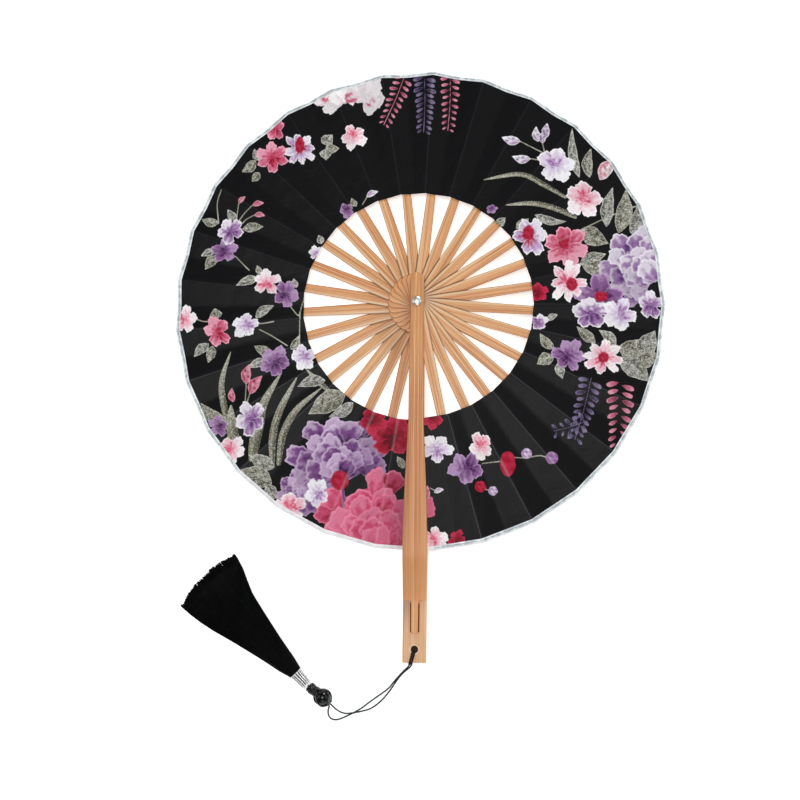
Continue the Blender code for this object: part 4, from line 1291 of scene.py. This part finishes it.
def panelMesh(panel):  # a fine top side over a coarser underside, stitched together round the edge
    rows, step = leaf["rows"], leaf["coarse"]
    radii = np.linspace(leaf["window"], leaf["radius"] - leaf["hemFold"], rows + 1)
    top = clothGrid(panel, radii, leaf["thickness"])
    waver = creaseWaver(top)
    top[..., 2] += waver
    low = clothGrid(panel, radii, 0.0)
    low[..., 2] += waver
    low = low[::step, ::step]
    columns, lowColumns, lowRows = top.shape[0], low.shape[0], low.shape[1]
    points = np.concatenate([top.reshape(-1, 3), low.reshape(-1, 3)])
    first = top.shape[0] * top.shape[1]

    def upper(i, j):
        return i * (rows + 1) + j

    def lower(i, j):
        return first + i * lowRows + j
    faces = [(upper(i, j), upper(i, j + 1), upper(i + 1, j + 1), upper(i + 1, j))
             for i in range(columns - 1) for j in range(rows)]
    faces += [(lower(i, j), lower(i + 1, j), lower(i + 1, j + 1), lower(i, j + 1))
              for i in range(lowColumns - 1) for j in range(lowRows - 1)]
    for i in range(lowColumns - 1):
        faces.append([lower(i, 0), *[upper(i * step + n, 0) for n in range(step + 1)], lower(i + 1, 0)])
        faces.append([lower(i + 1, lowRows - 1), *[upper((i + 1) * step - n, rows) for n in range(step + 1)],
                      lower(i, lowRows - 1)])
    for j in range(lowRows - 1):
        faces.append([lower(0, j + 1), *[upper(0, (j + 1) * step - n) for n in range(step + 1)], lower(0, j)])
        faces.append([lower(lowColumns - 1, j), *[upper(columns - 1, j * step + n) for n in range(step + 1)],
                      lower(lowColumns - 1, j + 1)])
    data = makeMesh(f"panel_{panel + 1:02d}", points, faces, satin)
    data.set_sharp_from_angle(angle=math.radians(50.0))
    counts = panelAnchors(panel)[1]
    ridge = sum(counts[:2 if panel else 3])
    fromRidge = np.hypot(*np.moveaxis(top[:, :, :2] - top[ridge][None, :, :2], -1, 0)).ravel()
    crease = np.concatenate([fromRidge, np.full(len(points) - first, 9.0)])
    putAttribute(data, "crease", crease)
    return data, points, first


satin = Finish("printed_satin", tone(12, 12, 14), 0.42, {"Specular IOR Level": 0.13})
weave = satin.attribute("cloth", out=1)
edge, mottle, crease = [satin.attribute(name) for name in ("paintEdge", "mottle", "crease")]
speckle = satin.noise(weave, 1.5, 2.0, 0.6)
thread = satin.noise(satin.stretch(weave, (2.0, 2.0, 1.0)), 1.0, 1.0, 0.5)
# the print has dark and pale flecks, and a painted highlight along a ridge
satin.paint = satin.attribute("painted", out=0)
satin.layer(satin.between(speckle, 0.50, 0.60) * mottle * 0.85, (0.34, 0.34, 0.32), "MULTIPLY")
paleFlecks = (mottle - 0.5).maths("MAXIMUM", 0.0) * 1.6
satin.layer(satin.between(speckle, 0.46, 0.34) * paleFlecks, tone(232, 232, 228))
satin.layer(satin.between(crease, 1.1, 0.1) * 0.3, (0.26, 0.24, 0.26), "SCREEN")
printed = satin.paint
# the black ground has a painted highlight along a ridge, most of all towards the handle
satin.paint = satin.blend(satin.between(thread, 0.3, 0.7), tone(6, 6, 8), tone(12, 12, 15))
towardsHandle = satin.between(satin.part(weave, 1), 20.0, -40.0, 0.14, 0.48)
satin.layer(satin.between(crease + thread * 0.3, 0.62, 0.18) * towardsHandle, tone(72, 72, 77))
inked = satin.between(edge + (thread - 0.5) * 0.12, 0.10, -0.10)
satin.layer(inked, printed)
satin.finish()
satin.feed("Roughness", satin.between(inked, 0.0, 1.0, 0.44, 0.47))
weft, warp = [satin.noise(satin.stretch(weave, scale), 1.0, 1.0, 0.5)
              for scale in ((0.7, 6.0, 1.0), (6.0, 0.7, 1.0))]
satin.bump(satin.noise(weave, 0.9, 2.0, 0.6) + (weft + warp) * 0.10, 0.6, 0.035)

silver = Finish("silver_binding", tone(200, 208, 214), 0.34, {"Sheen Weight": 0.2})
bandPlace = silver.attribute("cloth", out=1)
patches = silver.noise(bandPlace, 0.28, 3.0, 0.6)
silver.paint = silver.blend(silver.between(patches, 0.40, 0.64), tone(240, 245, 247), tone(194, 202, 207))
middle = silver.between((silver.attribute("band") - 0.42).maths("ABSOLUTE"), 0.16, 0.04)
silver.layer(middle * silver.between(patches, 0.3, 0.6, 0.25, 0.75), tone(120, 128, 130))
# painted sheen: the band is paler towards the lower left
lowerLeft = (silver.between(silver.part(bandPlace, 1), -60.0, -100.0)
             * silver.between(silver.part(bandPlace, 0), 12.0, -8.0))
silver.layer(lowerLeft * 0.6, tone(250, 244, 247))
silver.finish()
cloudy = silver.noise(bandPlace, 2.4, 2.0, 0.5)
silver.feed("Roughness", silver.between(cloudy, 0.3, 0.7, 0.28, 0.5))
silver.bump(cloudy, 0.5, 0.10)

binding = {  # section round the leaf's rim: radius, lift and share of the band
    "section": [
        (118.1, 0.30, 0.0), (118.1, 0.38, 0.0), (118.25, 0.43, 0.08), (118.6, 0.45, 0.25),
        (119.0, 0.455, 0.42), (119.4, 0.44, 0.6), (119.75, 0.38, 0.8), (119.95, 0.25, 1.0),
        (120.0, 0.12, 1.0), (119.95, -0.02, 1.0), (119.75, -0.12, 0.8), (119.3, -0.165, 0.5),
        (118.6, -0.17, 0.25), (118.1, -0.16, 0.0), (118.1, -0.05, 0.0), (119.65, -0.05, 0.5),
        (119.65, 0.30, 0.5),
    ],
    "pucker": 0.045,
}


def bandMesh(panel):
    section = np.array(binding["section"])
    grid = clothGrid(panel, section[:, 0], section[:, 1])
    grid[..., 2] += creaseWaver(grid)
    swell = binding["pucker"] * ripple(grid[..., 0], grid[..., 1], 2.6, 31)
    grid[:, 1:9, 2] += swell[:, 1:9]
    return makeMesh(f"binding_{panel + 1:02d}", grid.reshape(-1, 3),
                    loftFaces(grid.shape[0], grid.shape[1]), silver), grid


panelData = [panelMesh(panel) for panel in range(fold["panels"])]
cloth = paintLeaf(np.concatenate([points[:first, :2] for _, points, first in panelData]))
start = 0
for data, points, first in panelData:
    seen, under = slice(start, start + first), len(points) - first  # nothing is painted underneath
    colour = np.concatenate([cloth.colour[seen], np.zeros((under, 3))])
    putAttribute(data, "painted", np.column_stack([colour, np.ones(len(points))]))
    putAttribute(data, "paintEdge", np.concatenate([cloth.edge[seen], np.full(under, 4.0)]))
    putAttribute(data, "mottle", np.concatenate([cloth.mottle[seen], np.zeros(under)]))
    putAttribute(data, "cloth", points)
    start += first
bands = []
for panel in range(fold["panels"]):
    data, grid = bandMesh(panel)
    putAttribute(data, "cloth", grid)
    putAttribute(data, "band", np.tile(np.array(binding["section"])[:, 2], grid.shape[0]))
    bands.append(data)
panelPieces = [addObject(data.name, data) for data, _, _ in panelData]
bandPieces = [addObject(data.name, data) for data in bands]
print("leaf printed")


# The rivet
nickel = Finish("nickel", tone(226, 225, 220), 0.35, {"Metallic": 1.0})
worn = nickel.cloudy(1.6, 4.0, 0.6, tone(248, 247, 243), tone(206, 204, 196))
nickel.feed("Roughness", nickel.between(worn, 0.3, 0.7, 0.28, 0.50))
nickel.finish()
nickel.bump(worn, 0.25, 0.04)

rivet = {"head": 2.35, "height": 1.30, "seat": 16.50, "socket": 1.47, "socketTop": 17.00}


def makeHead():
    low, radius = rivet["seat"], rivet["head"]
    dome = [(radius * math.cos(t), low + 0.30 + (rivet["height"] - 0.30) * math.sin(t))
            for t in np.radians(np.linspace(0.0, 84.0, 12))]
    socket, top = rivet["socket"], rivet["socketTop"]
    profile = [(0, top), (socket, top), (socket, low), (radius - 0.12, low), (radius - 0.03, low + 0.06),
               (radius, low + 0.16), *dome, (0, low + rivet["height"])]
    return addObject("rivet_head", turnedMesh("rivet_head", profile, 72, nickel))


headPiece = makeHead()

# What stands on the table, and the light
reach, drop = 2500.0, -0.3
corners = [(x, y, drop) for x, y in ((-reach, -reach), (reach, -reach), (reach, reach), (-reach, reach))]
floor = addObject("table", makeMesh("table", corners, [(0, 1, 2, 3)]))
white = Finish("table_white", (0.90, 0.90, 0.90), 0.9, {
    "Specular IOR Level": 0.1, "Emission Color": (1.0, 1.0, 1.0, 1.0), "Emission Strength": 0.55})
right, up = [white.part(white.place(), axis) for axis in (0, 1)]
# painted shade: the table is dark under the handle's slot and hole, and glows faintly brown under the slot in
# place of the slot's shaded walls
underHandle = (white.between(right.maths("ABSOLUTE"), 5.4, 5.1)
               * white.between((up + 157.5).maths("ABSOLUTE"), 14.5, 14.0))
inSlot = white.between(up, -163.0, -160.0) * underHandle
unlit = white.blend(inSlot, (0.0, 0.0, 0.0), tone(104, 62, 36))
white.feed("Emission Color", white.blend(underHandle, (1.0, 1.0, 1.0), unlit))
white.feed("Base Color", white.blend(underHandle, (0.90, 0.90, 0.90), tone(84, 60, 40)))
floor.data.materials.append(white.material)
lamps = {  # place, size and strength
    "above": ((-0.057, -0.098, 1.295), 0.35, 6.0),
    "key": ((0.48, 1.28, 0.63), 0.50, 10.0),
    "left": ((-1.35, 0.10, 0.80), 1.1, 5.0),
    "right": ((1.35, 0.20, 0.80), 1.1, 5.0),
    "front": ((0.05, -1.45, 0.80), 1.1, 6.5),
}
for name, (place, size, strength) in lamps.items():
    lamp = bpy.data.lights.new(name, "AREA")
    lamp.size, lamp.energy = size, strength
    holder = addObject(name, lamp)
    holder.location = place
    holder.rotation_euler = Vector(place).to_track_quat("Z", "Y").to_euler()
world = bpy.data.worlds.new("studio")
world.use_nodes = True
sky = world.node_tree.nodes["Background"].inputs
sky["Color"].default_value, sky["Strength"].default_value = (1.0, 1.0, 1.0, 1.0), 0.14
bpy.context.scene.world = world
bpy.context.scene.view_settings.view_transform = "Standard"

# What each piece stands for, and what the rivet, guards, ribs, cord and tassel move with
def assign(piece, node, body):
    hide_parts(node)
    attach(piece, body)


for node in ("rivet_pin", "rivet_cap_rear"):
    for slot in bpy.data.objects[node].material_slots:
        slot.material = nickel.material
assign(headPiece, "rivet_head_front", "rear_guard")
assign(frontGuard, "front_guard", "front_guard")
assign(rearGuard, "rear_guard", "rear_guard")
for number, piece in enumerate(ribPieces, 1):
    assign(piece, f"rib_{number:02d}", f"rib_{number:02d}")

for number, (panelPiece, bandPiece) in enumerate(zip(panelPieces, bandPieces)):
    middle = (number + 0.5) * fold["step"]
    for piece in (panelPiece, bandPiece):
        chain[number + 1]
        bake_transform(piece)
    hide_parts("leaf")
    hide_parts("leaf_hem")
    chain[number + 1]
    0.00148 if number in (0, fold["panels"] - 1) else 0.00121

for piece, node, slot in (
        (strands["upper"][0], "cord_strand_upper", "green_black_cord"),
        (strands["lower"][0], "cord_strand_lower", "green_black_cord"),
        (hitchPiece, "cord_hitch", "green_black_cord"), (knotPiece, "cord_knot", "black_knot"),
        (capPiece, "tassel_cap", "silver_cap"), (skirtPiece, "tassel_skirt", "black_silk")):
    assign(piece, node, "rear_guard")
for name, pieces in (("upper", [knotPiece, capPiece, skirtPiece]), ("lower", [hitchPiece])):
    strand, route = strands[name]
    tuple(route[0] * mm)
    [tuple(p * mm) for p in route]
